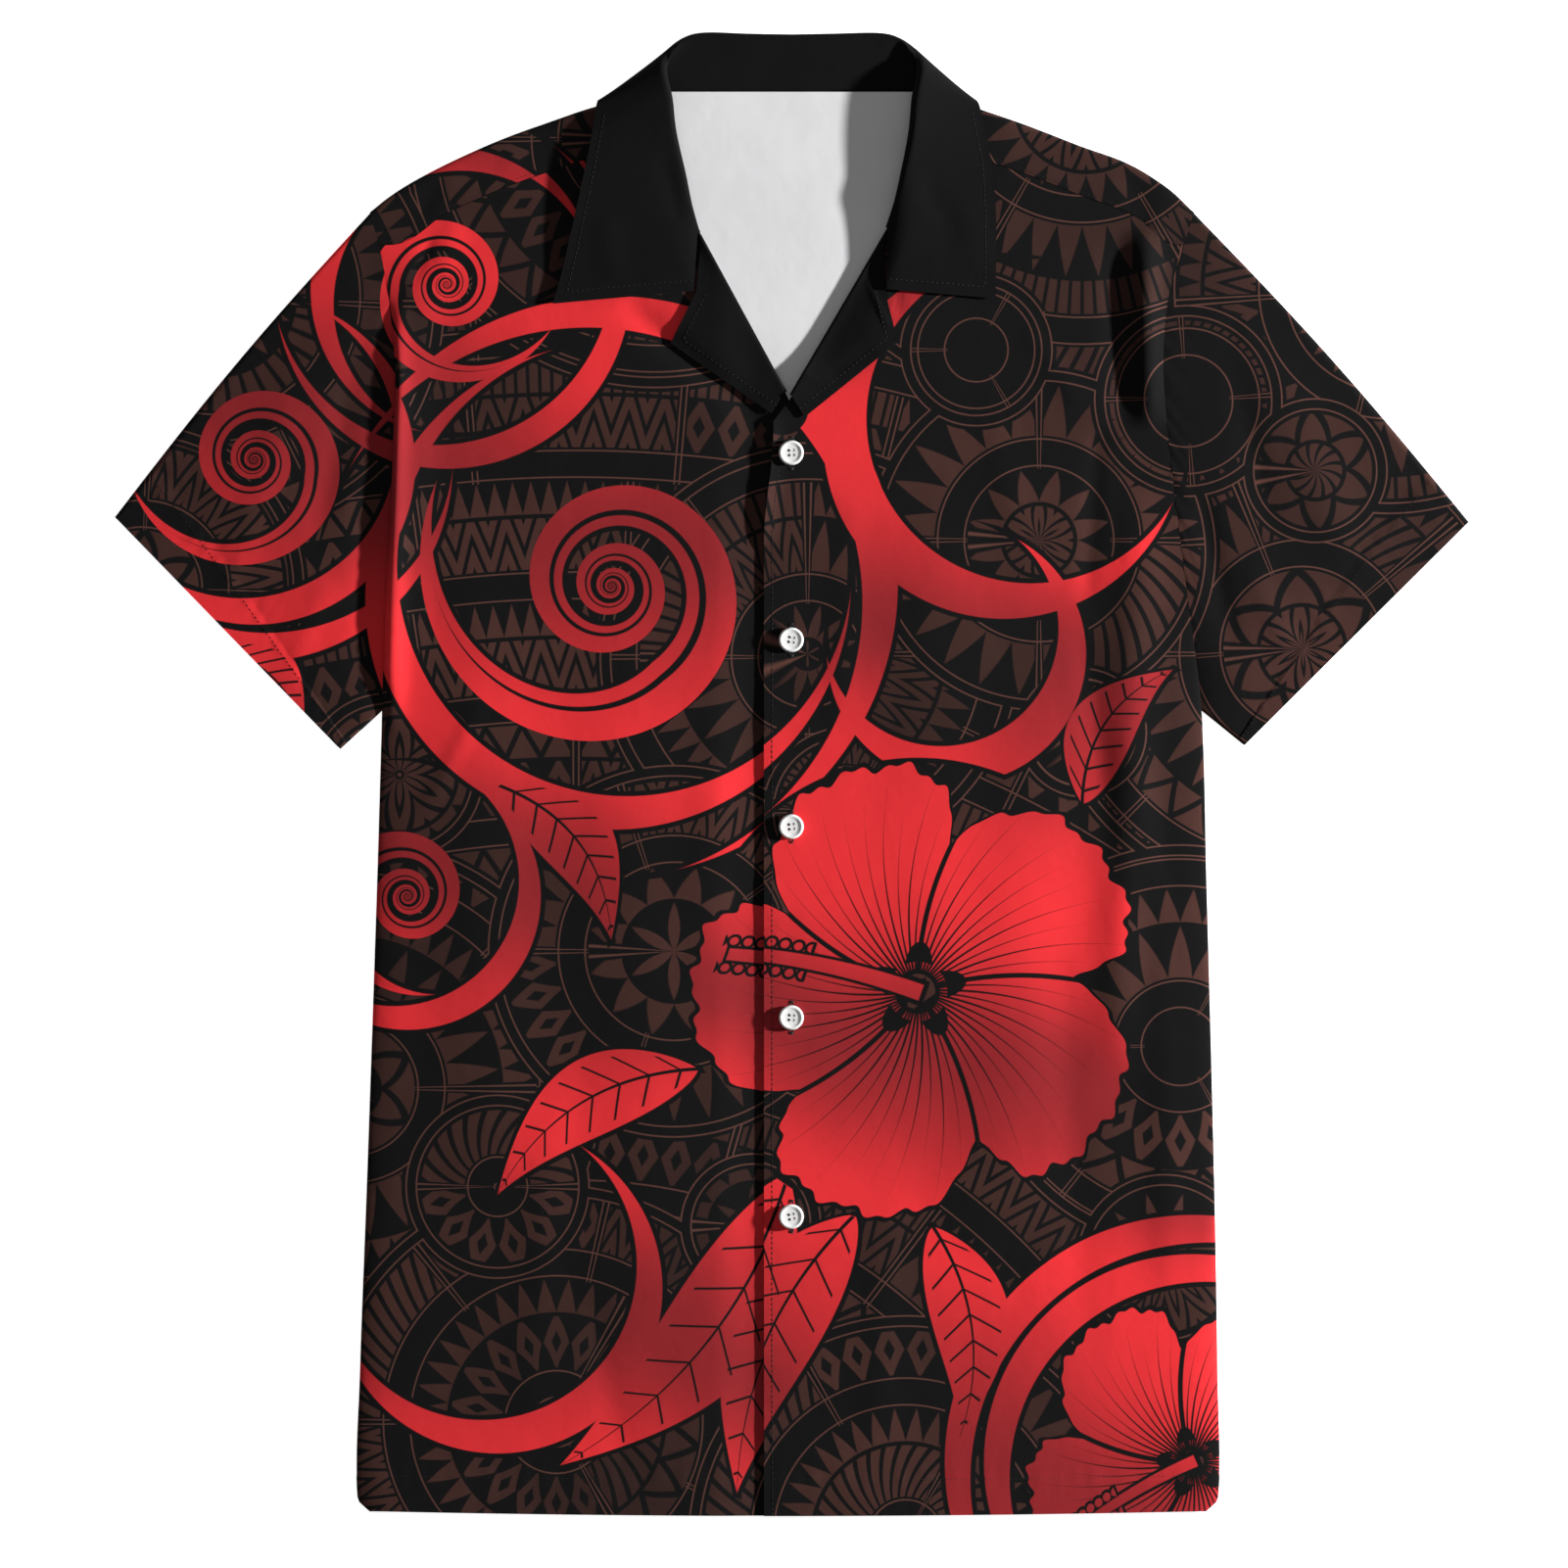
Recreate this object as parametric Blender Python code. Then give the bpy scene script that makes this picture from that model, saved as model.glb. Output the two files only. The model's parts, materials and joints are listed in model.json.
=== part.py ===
"""Short-sleeved camp-collar shirt, buttoned up and laid flat on its back.

+X points to the wearer's left sleeve, +Y to the collar and +Z up from the surface under the shirt.
All sizes are in metres. "right" and "left" are the wearer's.
"""
import math
from collections import namedtuple

import bmesh
import bpy
from mathutils import Vector

# Cloth
WALL = 0.0010  # the cloth as a rigid wall
HEM_WALL = 0.0014  # turned and stitched hem
COLLAR_WALL = 0.0012  # two layers and an interfacing
SEAM_GAP = 0.0003  # between pieces that are sewn together
LAY_GAP = 0.0007  # between a piece and what it lies on

# Body
HEM_Y = -0.3780
HEM_ROWS = 3  # rows of the turned hem
UNDERARM_Y = 0.033
NECK_Y = 0.3483  # back neck seam
SEAM_DROP = 0.0250  # from the shoulder fold down to the seam in front of it
SHOULDER_BEND = 0.0016  # radius of the fold over the shoulder
LAP_LEFT = -0.0150  # front edge of the upper front
LAP_RIGHT = 0.0110  # front edge of the front underneath
LAP_BEND = 0.0048  # the upper front edge swings towards the middle at its top
LAP_BEND_FROM = 0.120
LAP_BEND_RUN = 0.055

# Heights of the middle of the front wall
FRONT_SIDE = 0.0019
FRONT_CREST = 0.0038
LAP_DIP = 0.0015  # the front underneath sinks below the upper one
LAP_DIP_END = 0.040
LAP_DIP_RUN = 0.022
SIDE_ROUND = 0.016
SIDE_INSET = 0.0006  # the rounded edge of a front stays inside the outline
NECK_LIFT = 0.0017  # the back and fronts rise over the fall of the collar
NECK_LIFT_FROM = 0.309
NECK_LIFT_RUN = 0.016
NECK_LIFT_HALF = 0.128  # half width of the lifted part
NECK_LIFT_SIDE = 0.024
ARMHOLE_RISE = 0.060  # length over which a front rises to the height of the shoulder

# Sleeves
ARM_GAP = 0.0005  # beside the armhole, whose edges round over
SLEEVE_BEND = 0.0013
SLEEVE_PUFF = 0.0014
SLEEVE_PUFF_RUN = 1.15
SLEEVE_PUFF_POWER = 0.7
SLEEVE_BULGE = (0.0019, 0.0023)  # the top fold bows out
SLEEVE_SETTLE = 4  # how quickly the sleeve comes down from the armhole
UNDERARM_BEND = 0.0008
SLEEVE_ROWS = (0.0, 0.04, 0.12, 0.24, 0.38, 0.52, 0.66, 0.79, 0.88, 1.0)  # from the armhole to the hem
SLEEVE_HEM_ROWS = 2
SLEEVE_CORNERS = {
    "right": ((0.3453, 0.1315), (0.2303, 0.0130)),
    "left": ((0.3453, 0.1290), (0.2308, 0.0150)),
}

# Buttons
BUTTON_R = 0.00635
BUTTON_H = 0.0026
BUTTON_HOLE_R = 0.0009
BUTTON_HOLE_RING = 0.0017
BUTTON_SIDES = 20
BUTTON_X = -0.0003
BUTTON_LEVELS = (0.1640, 0.0687, -0.0265, -0.1238, -0.2252)

# Side edge and armhole: half widths of the body at each height.
Level = namedtuple("Level", "y right left")
BODY = (
    Level(-0.3755, 0.2150, 0.2110),
    Level(-0.3690, 0.2213, 0.2172),
    Level(-0.3050, 0.2202, 0.2170),
    Level(-0.2050, 0.2165, 0.2153),
    Level(-0.0545, 0.2114, 0.2114),
    Level(0.0330, 0.2088, 0.2088),
    Level(0.0905, 0.2067, 0.2018),
    Level(0.1300, 0.2045, 0.1968),
    Level(0.1765, 0.2027, 0.1915),
    Level(0.2080, 0.2020, 0.1892),
    Level(0.2425, 0.2055, 0.1918),
    Level(0.2700, 0.2105, 0.2000),
    Level(0.2865, 0.2150, 0.2050),
)
ROWS = (
    -0.3755, -0.3690, -0.3560, -0.3300, -0.2950, -0.2600, -0.2250, -0.1900,
    -0.1550, -0.1200, -0.0850, -0.0500, -0.0200, 0.0080, 0.0330, 0.0600,
    0.0905, 0.1300, 0.1560, 0.1765, 0.2080, 0.2425, 0.2600, 0.2700,
)
ARM_ROWS = tuple(y for y in ROWS if y >= UNDERARM_Y) + (0.2865,)

# The fold over the shoulder, from the neck out.
Shoulder = namedtuple("Shoulder", "x right left")
SHOULDER = (
    Shoulder(0.078, 0.3455, 0.3450),
    Shoulder(0.100, 0.3402, 0.3375),
    Shoulder(0.122, 0.3330, 0.3300),
    Shoulder(0.147, 0.3240, 0.3203),
    Shoulder(0.172, 0.3130, 0.3110),
    Shoulder(0.192, 0.3027, 0.2985),
    Shoulder(0.205, 0.2945, 0.2865),
    Shoulder(0.215, 0.2865, 0.2790),
)

# Top edge of each front, from the opening along the roll line and the neck seam to the shoulder.
Top = namedtuple("Top", "x y")
NECK = {
    "right": (
        Top(-0.0110, 0.1705),
        Top(0.00125, 0.1925),
        Top(0.0467, 0.2740),
        Top(0.0625, 0.3000),
        Top(0.0780, 0.3205),
    ),
    "left": (
        Top(-0.0095, 0.1800),
        Top(-0.00125, 0.1925),
        Top(0.0485, 0.2765),
        Top(0.0635, 0.3010),
        Top(0.0780, 0.3200),
    ),
}
SEAM_COLUMNS = (0.090, 0.104, 0.120, 0.136, 0.150, 0.164, 0.177)
SIDE_COLUMNS = (0.0150, 0.0090, 0.0045, 0.0018, 0.0)  # inwards from the side edge
NECK_STEPS = (1, 5, 2, 2)  # columns between the corners of the top edge
BACK_COLUMNS = (0.0, 0.0200, 0.0400, 0.0600)  # of the back, between the shoulders
FOLD_TURNS = (-45, 0, 45)  # angles of the sections round a fold
SEAM_SHARES = (0.0, 0.5, 1.0)  # places from the shoulder fold to the seam

# Folds of the fronts and sleeves: a ridge, or a trough where the height is negative.
Fold = namedtuple("Fold", "piece x0 y0 x1 y1 width height")
FOLDS = (
    Fold("body", 0.1840, 0.2800, 0.1760, 0.0900, 0.0110, 0.0034),
    Fold("body", 0.1780, 0.1500, 0.1650, -0.1600, 0.0120, 0.0022),
    Fold("body", 0.1620, 0.2700, 0.1600, 0.0500, 0.0090, -0.0010),
    Fold("body", 0.1250, 0.0600, 0.1050, -0.2500, 0.0240, 0.0013),
    Fold("body", -0.1945, 0.2700, -0.1960, 0.0350, 0.0085, 0.0034),
    Fold("body", -0.1650, 0.1200, -0.1500, -0.2400, 0.0260, 0.0013),
    Fold("body", -0.0900, 0.0900, -0.0700, -0.3000, 0.0280, 0.0010),
    Fold("body", 0.0700, 0.1400, 0.0750, -0.1500, 0.0260, 0.0010),
    Fold("front_left", -0.0110, 0.1860, -0.0165, 0.1150, 0.0055, 0.0024),
    Fold("sleeve", 0.2150, 0.2600, 0.2950, 0.0950, 0.0180, 0.0012),
    Fold("sleeve", -0.2300, 0.2450, -0.3050, 0.1150, 0.0200, 0.0012),
)

# Turned-back facings: their corners from the break point round to the gorge.
LAPEL = {
    "right": ((0.0032, 0.1955), (0.0105, 0.1842), (0.0618, 0.2200), (0.0487, 0.2462), (0.0462, 0.2728)),
    "left": ((-0.0005, 0.1940), (0.0065, 0.1822), (0.0540, 0.2205), (0.0473, 0.2472), (0.0478, 0.2750)),
}
LAPEL_INNER = (0.0, 0.10, 0.20, 0.30, 0.40, 0.50, 0.60, 0.72, 0.86, 1.0)  # places up the roll line
LAPEL_OUTER = (0.0, 0.2, 0.4, 0.6, 0.8, 1.0, 1.5, 2.0, 2.4, 2.8)  # foot 0, tip 1, notch 2, gorge 3
LAPEL_COLUMNS = 6

# Sections of the collar from each front end to the middle of the back. The seam, roll and edge are
# points of the middle of its wall; turn is the way the leaf faces, 0 up and 180 down; pull is how far
# the section bows to the notch.
Section = namedtuple(
    "Section", "seam_x seam_y seam_z roll_x roll_y roll_z edge_x edge_y edge_z turn bend pull"
)
COLLAR = {
    "right": (
        Section(0.0468, 0.2768, 0.0033, 0.0456, 0.2760, 0.0052, 0.1218, 0.2400, 0.0064, 0, 0.0010, 1.00),
        Section(0.0545, 0.2890, 0.0041, 0.0500, 0.2900, 0.0064, 0.1172, 0.2560, 0.0064, 0, 0.0015, 0.72),
        Section(0.0612, 0.2995, 0.0045, 0.0540, 0.3060, 0.0073, 0.1130, 0.2740, 0.0066, 0, 0.0018, 0.45),
        Section(0.0762, 0.3205, 0.0056, 0.0592, 0.3270, 0.0081, 0.1065, 0.3030, 0.0072, 0, 0.0020, 0.15),
        Section(0.0768, 0.3340, 0.0058, 0.0612, 0.3440, 0.0083, 0.1020, 0.3250, 0.0074, 4, 0.0020, 0.0),
        Section(0.0768, 0.3392, 0.0057, 0.0630, 0.3520, 0.0081, 0.1000, 0.3385, 0.0072, 22, 0.0020, 0.0),
        Section(0.0768, 0.3434, 0.0050, 0.0642, 0.3585, 0.0067, 0.0990, 0.3424, 0.0060, 54, 0.0020, 0.0),
        Section(0.0766, 0.3465, 0.0039, 0.0638, 0.3640, 0.0050, 0.0986, 0.3432, 0.0040, 90, 0.0020, 0.0),
        Section(0.0748, 0.3486, 0.0027, 0.0610, 0.3695, 0.0034, 0.0976, 0.3420, 0.0018, 130, 0.0018, 0.0),
        Section(0.0700, 0.3493, 0.0023, 0.0550, 0.3755, 0.0023, 0.0920, 0.3380, 0.0007, 165, 0.0015, 0.0),
        Section(0.0560, 0.3493, 0.0023, 0.0440, 0.3782, 0.0019, 0.0740, 0.3330, 0.0006, 180, 0.0013, 0.0),
        Section(0.0280, 0.3493, 0.0023, 0.0220, 0.3776, 0.0019, 0.0370, 0.3297, 0.0006, 180, 0.0013, 0.0),
    ),
    "left": (
        Section(0.0486, 0.2794, 0.0033, 0.0474, 0.2786, 0.0054, 0.1038, 0.2425, 0.0064, 0, 0.0010, 1.00),
        Section(0.0561, 0.2905, 0.0041, 0.0522, 0.2920, 0.0072, 0.1040, 0.2620, 0.0064, 0, 0.0019, 0.72),
        Section(0.0620, 0.3002, 0.0046, 0.0562, 0.3080, 0.0088, 0.1040, 0.2820, 0.0066, 0, 0.0025, 0.45),
        Section(0.0762, 0.3200, 0.0057, 0.0598, 0.3270, 0.0098, 0.1025, 0.3060, 0.0072, 0, 0.0029, 0.15),
        Section(0.0768, 0.3340, 0.0060, 0.0614, 0.3440, 0.0100, 0.0985, 0.3270, 0.0074, 4, 0.0029, 0.0),
        Section(0.0768, 0.3392, 0.0059, 0.0630, 0.3520, 0.0096, 0.0960, 0.3390, 0.0072, 22, 0.0027, 0.0),
        Section(0.0768, 0.3434, 0.0051, 0.0642, 0.3585, 0.0077, 0.0945, 0.3424, 0.0060, 54, 0.0024, 0.0),
        Section(0.0766, 0.3462, 0.0040, 0.0638, 0.3640, 0.0054, 0.0938, 0.3432, 0.0040, 90, 0.0021, 0.0),
        Section(0.0748, 0.3486, 0.0027, 0.0610, 0.3695, 0.0035, 0.0926, 0.3420, 0.0018, 130, 0.0018, 0.0),
        Section(0.0700, 0.3493, 0.0023, 0.0545, 0.3755, 0.0023, 0.0880, 0.3382, 0.0007, 165, 0.0015, 0.0),
        Section(0.0560, 0.3493, 0.0023, 0.0440, 0.3780, 0.0019, 0.0720, 0.3332, 0.0006, 180, 0.0013, 0.0),
        Section(0.0280, 0.3493, 0.0023, 0.0220, 0.3776, 0.0019, 0.0360, 0.3297, 0.0006, 180, 0.0013, 0.0),
    ),
}
COLLAR_MIDDLE = Section(0.0, 0.3493, 0.0023, 0.0, 0.3772, 0.0019, 0.0, 0.3290, 0.0006, 180, 0.0013, 0.0)
COLLAR_STEPS = 2  # sections made between two rows of the table
NOTCH = {"right": (0.0493, 0.2468), "left": (0.0476, 0.2478)}
NOTCH_SHARE = 0.27  # of the collar's end, from the gorge to the notch
COLLAR_TURNS = (-54, -18, 18, 54)  # angles of the points round the roll
STAND_SHARES = (0.0, 0.33, 0.67, 1.0)  # places up the stand
COLLAR_SHARES = (0.0, 0.12, 0.27, 0.45, 0.63, 0.82, 1.0)  # places across the leaf
LEAF_FALL = 1.4  # how quickly the leaf comes down from the roll

CLOTH_SHARP = math.radians(50)
BUTTON_SHARP = math.radians(40)

# Turned shape of a button: radius and height as shares of its own.
BUTTON_PROFILE = (
    (0.0, 0.0),
    (0.78, 0.0),
    (0.97, 0.14),
    (1.0, 0.45),
    (0.96, 0.82),
    (0.88, 1.0),
    (0.76, 0.94),
    (0.64, 0.62),
    (0.0, 0.58),
)
BUTTON_HOLES = 4
DRILL_SIDES = 8

# Colours: base colour, roughness
FINISHES = {
    "dark_print": ((0.012, 0.011, 0.011, 1.0), 0.75),
    "red_print": ((0.60, 0.045, 0.050, 1.0), 0.72),
    "plain_dark": ((0.011, 0.011, 0.011, 1.0), 0.72),
    "button_white": ((0.86, 0.86, 0.85, 1.0), 0.28),
}


def clear_scene():
    for thing in list(bpy.data.objects):
        bpy.data.objects.remove(thing, do_unlink=True)


def finish(node, finish_name):
    """A material of the node's own."""
    colour, roughness = FINISHES[finish_name]
    material = bpy.data.materials.new(node.name)
    material.use_nodes = True
    shader = material.node_tree.nodes["Principled BSDF"]
    shader.inputs["Base Color"].default_value = colour
    shader.inputs["Roughness"].default_value = roughness
    node.data.materials.append(material)


def mix(a, b, t):
    return a + (b - a) * t


def soft_step(t):
    t = min(max(t, 0.0), 1.0)
    return t * t * (3.0 - 2.0 * t)


def along(rows, at, key, column):
    """The column's value at a place on the key, on a smooth curve through the table's rows."""
    ks = [getattr(row, key) for row in rows]
    vs = [getattr(row, column) for row in rows]
    at = min(max(at, ks[0]), ks[-1])
    n = max(i for i in range(len(ks) - 1) if ks[i] <= at)

    def slope(i):
        lo, hi = max(i - 1, 0), min(i + 1, len(ks) - 1)
        return (vs[hi] - vs[lo]) / (ks[hi] - ks[lo])

    step = ks[n + 1] - ks[n]
    t = (at - ks[n]) / step
    return (
        (2 * t**3 - 3 * t**2 + 1) * vs[n]
        + (t**3 - 2 * t**2 + t) * step * slope(n)
        + (3 * t**2 - 2 * t**3) * vs[n + 1]
        + (t**3 - t**2) * step * slope(n + 1)
    )


def half_width(y, side):
    return along(BODY, y, "y", side)


def body_edge(y, side):
    """Side edge or armhole of the back, straight from the front's corner to the tip of the shoulder."""
    corner, tip = ROWS[-1], BODY[-1].y
    if y <= corner:
        return half_width(y, side)
    return mix(half_width(corner, side), half_width(tip, side), min((y - corner) / (tip - corner), 1.0))


def shoulder_y(x, side):
    return along(SHOULDER, x, "x", side)


def hem_y(u):
    """Lower edge of the body; u runs from 0 in the middle to 1 at the side."""
    return mix(HEM_Y, ROWS[0], u * u)


def folds(x, y, pieces):
    """Height that the folds of the named pieces add at a point."""
    total = 0.0
    for f in FOLDS:
        if f.piece not in pieces:
            continue
        ax, ay = f.x1 - f.x0, f.y1 - f.y0
        t = ((x - f.x0) * ax + (y - f.y0) * ay) / (ax * ax + ay * ay)
        if 0.0 < t < 1.0:
            off = math.hypot(x - f.x0 - t * ax, y - f.y0 - t * ay) / f.width
            total += f.height * math.exp(-off * off) * (1.0 - (2.0 * t - 1.0) ** 4)
    return total


def neck_lift(x, y):
    """How far the body rises over the fall of the collar."""
    upward = soft_step((y - NECK_LIFT_FROM) / NECK_LIFT_RUN)
    return NECK_LIFT * upward * soft_step((NECK_LIFT_HALF - abs(x)) / NECK_LIFT_SIDE)


def side_height(y, side):
    """Middle of the front wall at its side edge and at the armhole."""
    rise = soft_step((y - UNDERARM_Y) / ARMHOLE_RISE)
    return mix(FRONT_SIDE, WALL / 2 + 2 * SHOULDER_BEND, rise)


def front_mid(x, y, side):
    """Middle of the wall of a front; x grows outwards on either side."""
    reach = max(half_width(y, side) - x, 0.0)
    t = min(reach / SIDE_ROUND, 1.0)
    rounded = math.sqrt(1.0 - (1.0 - t) ** 2)
    crest = FRONT_CREST + folds(x if side == "left" else -x, y, ("body", "front_" + side))
    top = mix(side_height(y, side), crest, rounded) + neck_lift(x, y)
    if side == "right":
        top -= LAP_DIP * soft_step((LAP_DIP_END - x) / LAP_DIP_RUN)
    return top


def cloth(name, grid, wall, finish_name, ring=False):
    """A closed wall about a grid of points: rows of Vectors, with None where there is no cloth."""
    rows, cols = len(grid), len(grid[0])
    span = cols if ring else cols - 1
    quads = []
    for i in range(rows - 1):
        for j in range(span):
            k = (j + 1) % cols
            corners = ((i, j), (i, k), (i + 1, k), (i + 1, j))
            if all(grid[a][b] is not None for a, b in corners):
                quads.append(corners)
    normals = {}
    uses = {}
    for corners in quads:
        p = [grid[a][b] for a, b in corners]
        normal = (p[2] - p[0]).cross(p[3] - p[1])
        for n, c in enumerate(corners):
            normals[c] = normals.get(c, Vector()) + normal
            edge = (c, corners[(n + 1) % 4])
            uses[edge] = uses.get(edge, 0) + 1
    index = {}
    points = []
    for c in sorted(normals):
        half = (wall(*c) if callable(wall) else wall) / 2
        normal = normals[c].normalized()
        index[c] = len(points)
        points += [grid[c[0]][c[1]] + normal * half, grid[c[0]][c[1]] - normal * half]
    faces = []
    for corners in quads:
        a, b, c, d = (index[c] for c in corners)
        faces += [(a, b, c), (a, c, d), (a + 1, c + 1, b + 1), (a + 1, d + 1, c + 1)]
    for a, b in uses:
        if (b, a) not in uses:
            faces += [(index[b], index[a], index[a] + 1), (index[b], index[a] + 1, index[b] + 1)]
    mesh = bpy.data.meshes.new(name)
    mesh.from_pydata(points, [], faces)
    mesh.validate()
    mesh.shade_smooth()
    mesh.set_sharp_from_angle(angle=CLOTH_SHARP)
    node = bpy.data.objects.new(name, mesh)
    bpy.context.scene.collection.objects.link(node)
    finish(node, finish_name)
    return node


def opening(y, side):
    """Front edge of a front, measured outwards from the middle."""
    if side == "right":
        return -LAP_RIGHT
    return LAP_LEFT + LAP_BEND * soft_step((y - LAP_BEND_FROM) / LAP_BEND_RUN)


def front_tops(side):
    """Top point of each column of a front, from the opening to the armhole."""
    tops = []
    for steps, a, b in zip(NECK_STEPS, NECK[side], NECK[side][1:]):
        tops += [(mix(a.x, b.x, t / steps), mix(a.y, b.y, t / steps)) for t in range(steps)]
    return tops + shoulder_seam(side)


def shoulder_seam(side):
    """Points of the seam in front of the shoulder, from the neck to the armhole."""
    end_x = half_width(ROWS[-1], side)
    seam = []
    for x in (NECK[side][-1].x,) + SEAM_COLUMNS + tuple(end_x - s for s in SIDE_COLUMNS):
        blend = soft_step((x - SEAM_COLUMNS[-1]) / (end_x - SEAM_COLUMNS[-1]))
        seam.append((x, mix(shoulder_y(x, side) - SEAM_DROP, ROWS[-1], blend)))
    return seam


def shoulder_fold(side):
    """Points of the fold over the shoulder, one above each point of the seam."""
    tip_y = BODY[-1].y
    tip_x = half_width(tip_y, side)
    xs = (NECK[side][-1].x,) + SEAM_COLUMNS + tuple(tip_x - s for s in SIDE_COLUMNS)
    return [(x, shoulder_y(x, side)) for x in xs[:-1]] + [(tip_x, tip_y)]


def hem_or_wall(row, column):
    return HEM_WALL if row < HEM_ROWS else WALL


def make_front(side):
    """One front, its rows running from the opening to the side."""
    sign = 1 if side == "left" else -1
    columns = []
    for x_top, y_top in front_tops(side):
        start = opening(y_top, side)
        columns.append(((x_top - start) / (half_width(min(y_top, ROWS[-1]), side) - start), y_top))
    grid = []
    for level in ROWS:
        share = (level - ROWS[0]) / (ROWS[-1] - ROWS[0])
        row = []
        for u, y_top in columns:
            y = mix(hem_y(u), y_top, share)
            x = mix(opening(y, side), half_width(min(y, ROWS[-1]), side) - SIDE_INSET, u)
            row.append(Vector((sign * x, y, front_mid(x, y, side))))
        grid.append(row[::sign])
    return cloth("front_" + side, grid, hem_or_wall, "red_print")


def back_mid(x, y):
    return WALL / 2 + neck_lift(x, y)


def make_back():
    """The back lies on the surface and wraps over both shoulders to the seam in front of them."""
    halves = []
    levels = ROWS + (BODY[-1].y,)
    rises = [(y - ROWS[0]) / (levels[-1] - ROWS[0]) for y in levels]
    for side, sign in (("right", -1), ("left", 1)):
        half = []
        for x_top in BACK_COLUMNS:
            u = x_top / half_width(BODY[-1].y, side)
            column = []
            for rise in rises:
                y = mix(hem_y(u), NECK_Y, rise)
                x = u * half_width(y, side)
                column.append(Vector((sign * x, y, back_mid(x, y))))
            half.append(column + [None] * (len(FOLD_TURNS) + len(SEAM_SHARES)))
        for (x_top, fold_y), (seam_x, seam_y) in zip(shoulder_fold(side), shoulder_seam(side)):
            u = x_top / half_width(BODY[-1].y, side)
            column = []
            for rise in rises[:-1]:
                y = mix(hem_y(u), fold_y, rise)
                x = u * body_edge(y, side)
                column.append(Vector((sign * x, y, back_mid(x, y))))
            low = back_mid(x_top, fold_y)
            turn_y = fold_y - SHOULDER_BEND
            turn_x = u * body_edge(turn_y, side)
            column.append(Vector((sign * turn_x, turn_y, low)))
            for angle in map(math.radians, FOLD_TURNS):
                out, up = SHOULDER_BEND * math.cos(angle), SHOULDER_BEND * (1 + math.sin(angle))
                x = u * body_edge(turn_y + out, side)
                column.append(Vector((sign * x, turn_y + out, low + up)))
            seam_z = front_mid(seam_x, seam_y, side)
            for t in SEAM_SHARES:
                y = mix(turn_y, seam_y + SEAM_GAP, t)
                z = mix(low + 2 * SHOULDER_BEND, seam_z, t)
                column.append(Vector((sign * mix(turn_x, seam_x, t), y, z)))
            half.append(column)
        halves.append(half)
    columns = halves[0][:0:-1] + halves[1]
    grid = [[column[i] for column in columns] for i in range(len(columns[-1]))]
    for row in range(HEM_ROWS):
        for point in grid[row]:
            point.z = HEM_WALL / 2
    return cloth("back", grid, hem_or_wall, "dark_print")


def sleeve_point(side, v, w):
    """Plan of the flattened sleeve: v from the armhole to the hem, w from the top fold to the underarm."""
    tip, corner = (Vector(c) for c in SLEEVE_CORNERS[side])
    arm = [Vector((half_width(y, side) + ARM_GAP, y)) for y in ARM_ROWS[::-1]]
    place = w * (len(arm) - 1)
    n = min(int(place), len(arm) - 2)
    at_arm = arm[n].lerp(arm[n + 1], place - n)
    shares = arm_shares(side)
    at = mix(shares[n], shares[n + 1], place - n)
    at_hem = tip.lerp(corner, at)
    bulge = Vector(SLEEVE_BULGE) * math.sin(math.pi * v) * (1 - at) ** 2
    return at_arm.lerp(at_hem, v) + bulge


def arm_shares(side):
    """How far round the armhole each of its points lies, from 0 at the shoulder to 1 at the underarm."""
    arm = [Vector((half_width(y, side), y)) for y in ARM_ROWS[::-1]]
    runs = [0.0]
    for a, b in zip(arm, arm[1:]):
        runs.append(runs[-1] + (b - a).length)
    return [run / runs[-1] for run in runs]


def sleeve_wall(row, column):
    return HEM_WALL if row >= len(SLEEVE_ROWS) - SLEEVE_HEM_ROWS else WALL


def sleeve_crown(v, w):
    """Height that the puff adds to the upper layer of a sleeve."""
    out = math.sin(math.pi * min(v * SLEEVE_PUFF_RUN, 1.0)) ** SLEEVE_PUFF_POWER
    return SLEEVE_PUFF * math.sin(math.pi * w) * out


def make_sleeve(side):
    """A flattened tube: rings of an upper and a lower layer, folded at the top and at the underarm."""
    sign = 1 if side == "left" else -1
    last = len(ARM_ROWS) - 1
    grid = []
    for i, v in enumerate(SLEEVE_ROWS):
        half_wall = sleeve_wall(i, 0) / 2
        length = (sleeve_point(side, v, 1.0) - sleeve_point(side, v, 0.0)).length
        skin = half_wall / length
        ring = []
        for upper in (True, False):
            places = range(last + 1) if upper else range(last, -1, -1)
            for k in places:
                share = k / last
                bend = mix(SHOULDER_BEND, UNDERARM_BEND, share) if v == 0 else SLEEVE_BEND
                inset = bend / length + skin
                w = min(max(share, inset), 1 - inset)
                p = sleeve_point(side, v, w)
                x = p.x if side == "left" else -p.x
                settle = (1 - v) ** SLEEVE_SETTLE
                flat = mix(half_wall + 2 * SLEEVE_BEND, side_height(ARM_ROWS[last - k], side), settle)
                up = flat + sleeve_crown(v, w) + folds(x, p.y, ("sleeve",)) * math.sin(math.pi * w)
                ring.append(Vector((sign * p.x, p.y, up if upper else half_wall)))
            turns = FOLD_TURNS[::-1] if upper else FOLD_TURNS
            near = sleeve_point(side, v, 1 - inset if upper else inset)
            far = sleeve_point(side, v, 1 - skin if upper else skin)
            for angle in map(math.radians, turns):
                q = near.lerp(far, math.cos(angle))
                z = mix(half_wall, flat, (1 + math.sin(angle)) / 2)
                ring.append(Vector((sign * q.x, q.y, z)))
        grid.append(ring if sign > 0 else ring[::-1])
    return cloth("sleeve_" + side, grid, sleeve_wall, "dark_print", ring=True)


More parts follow.
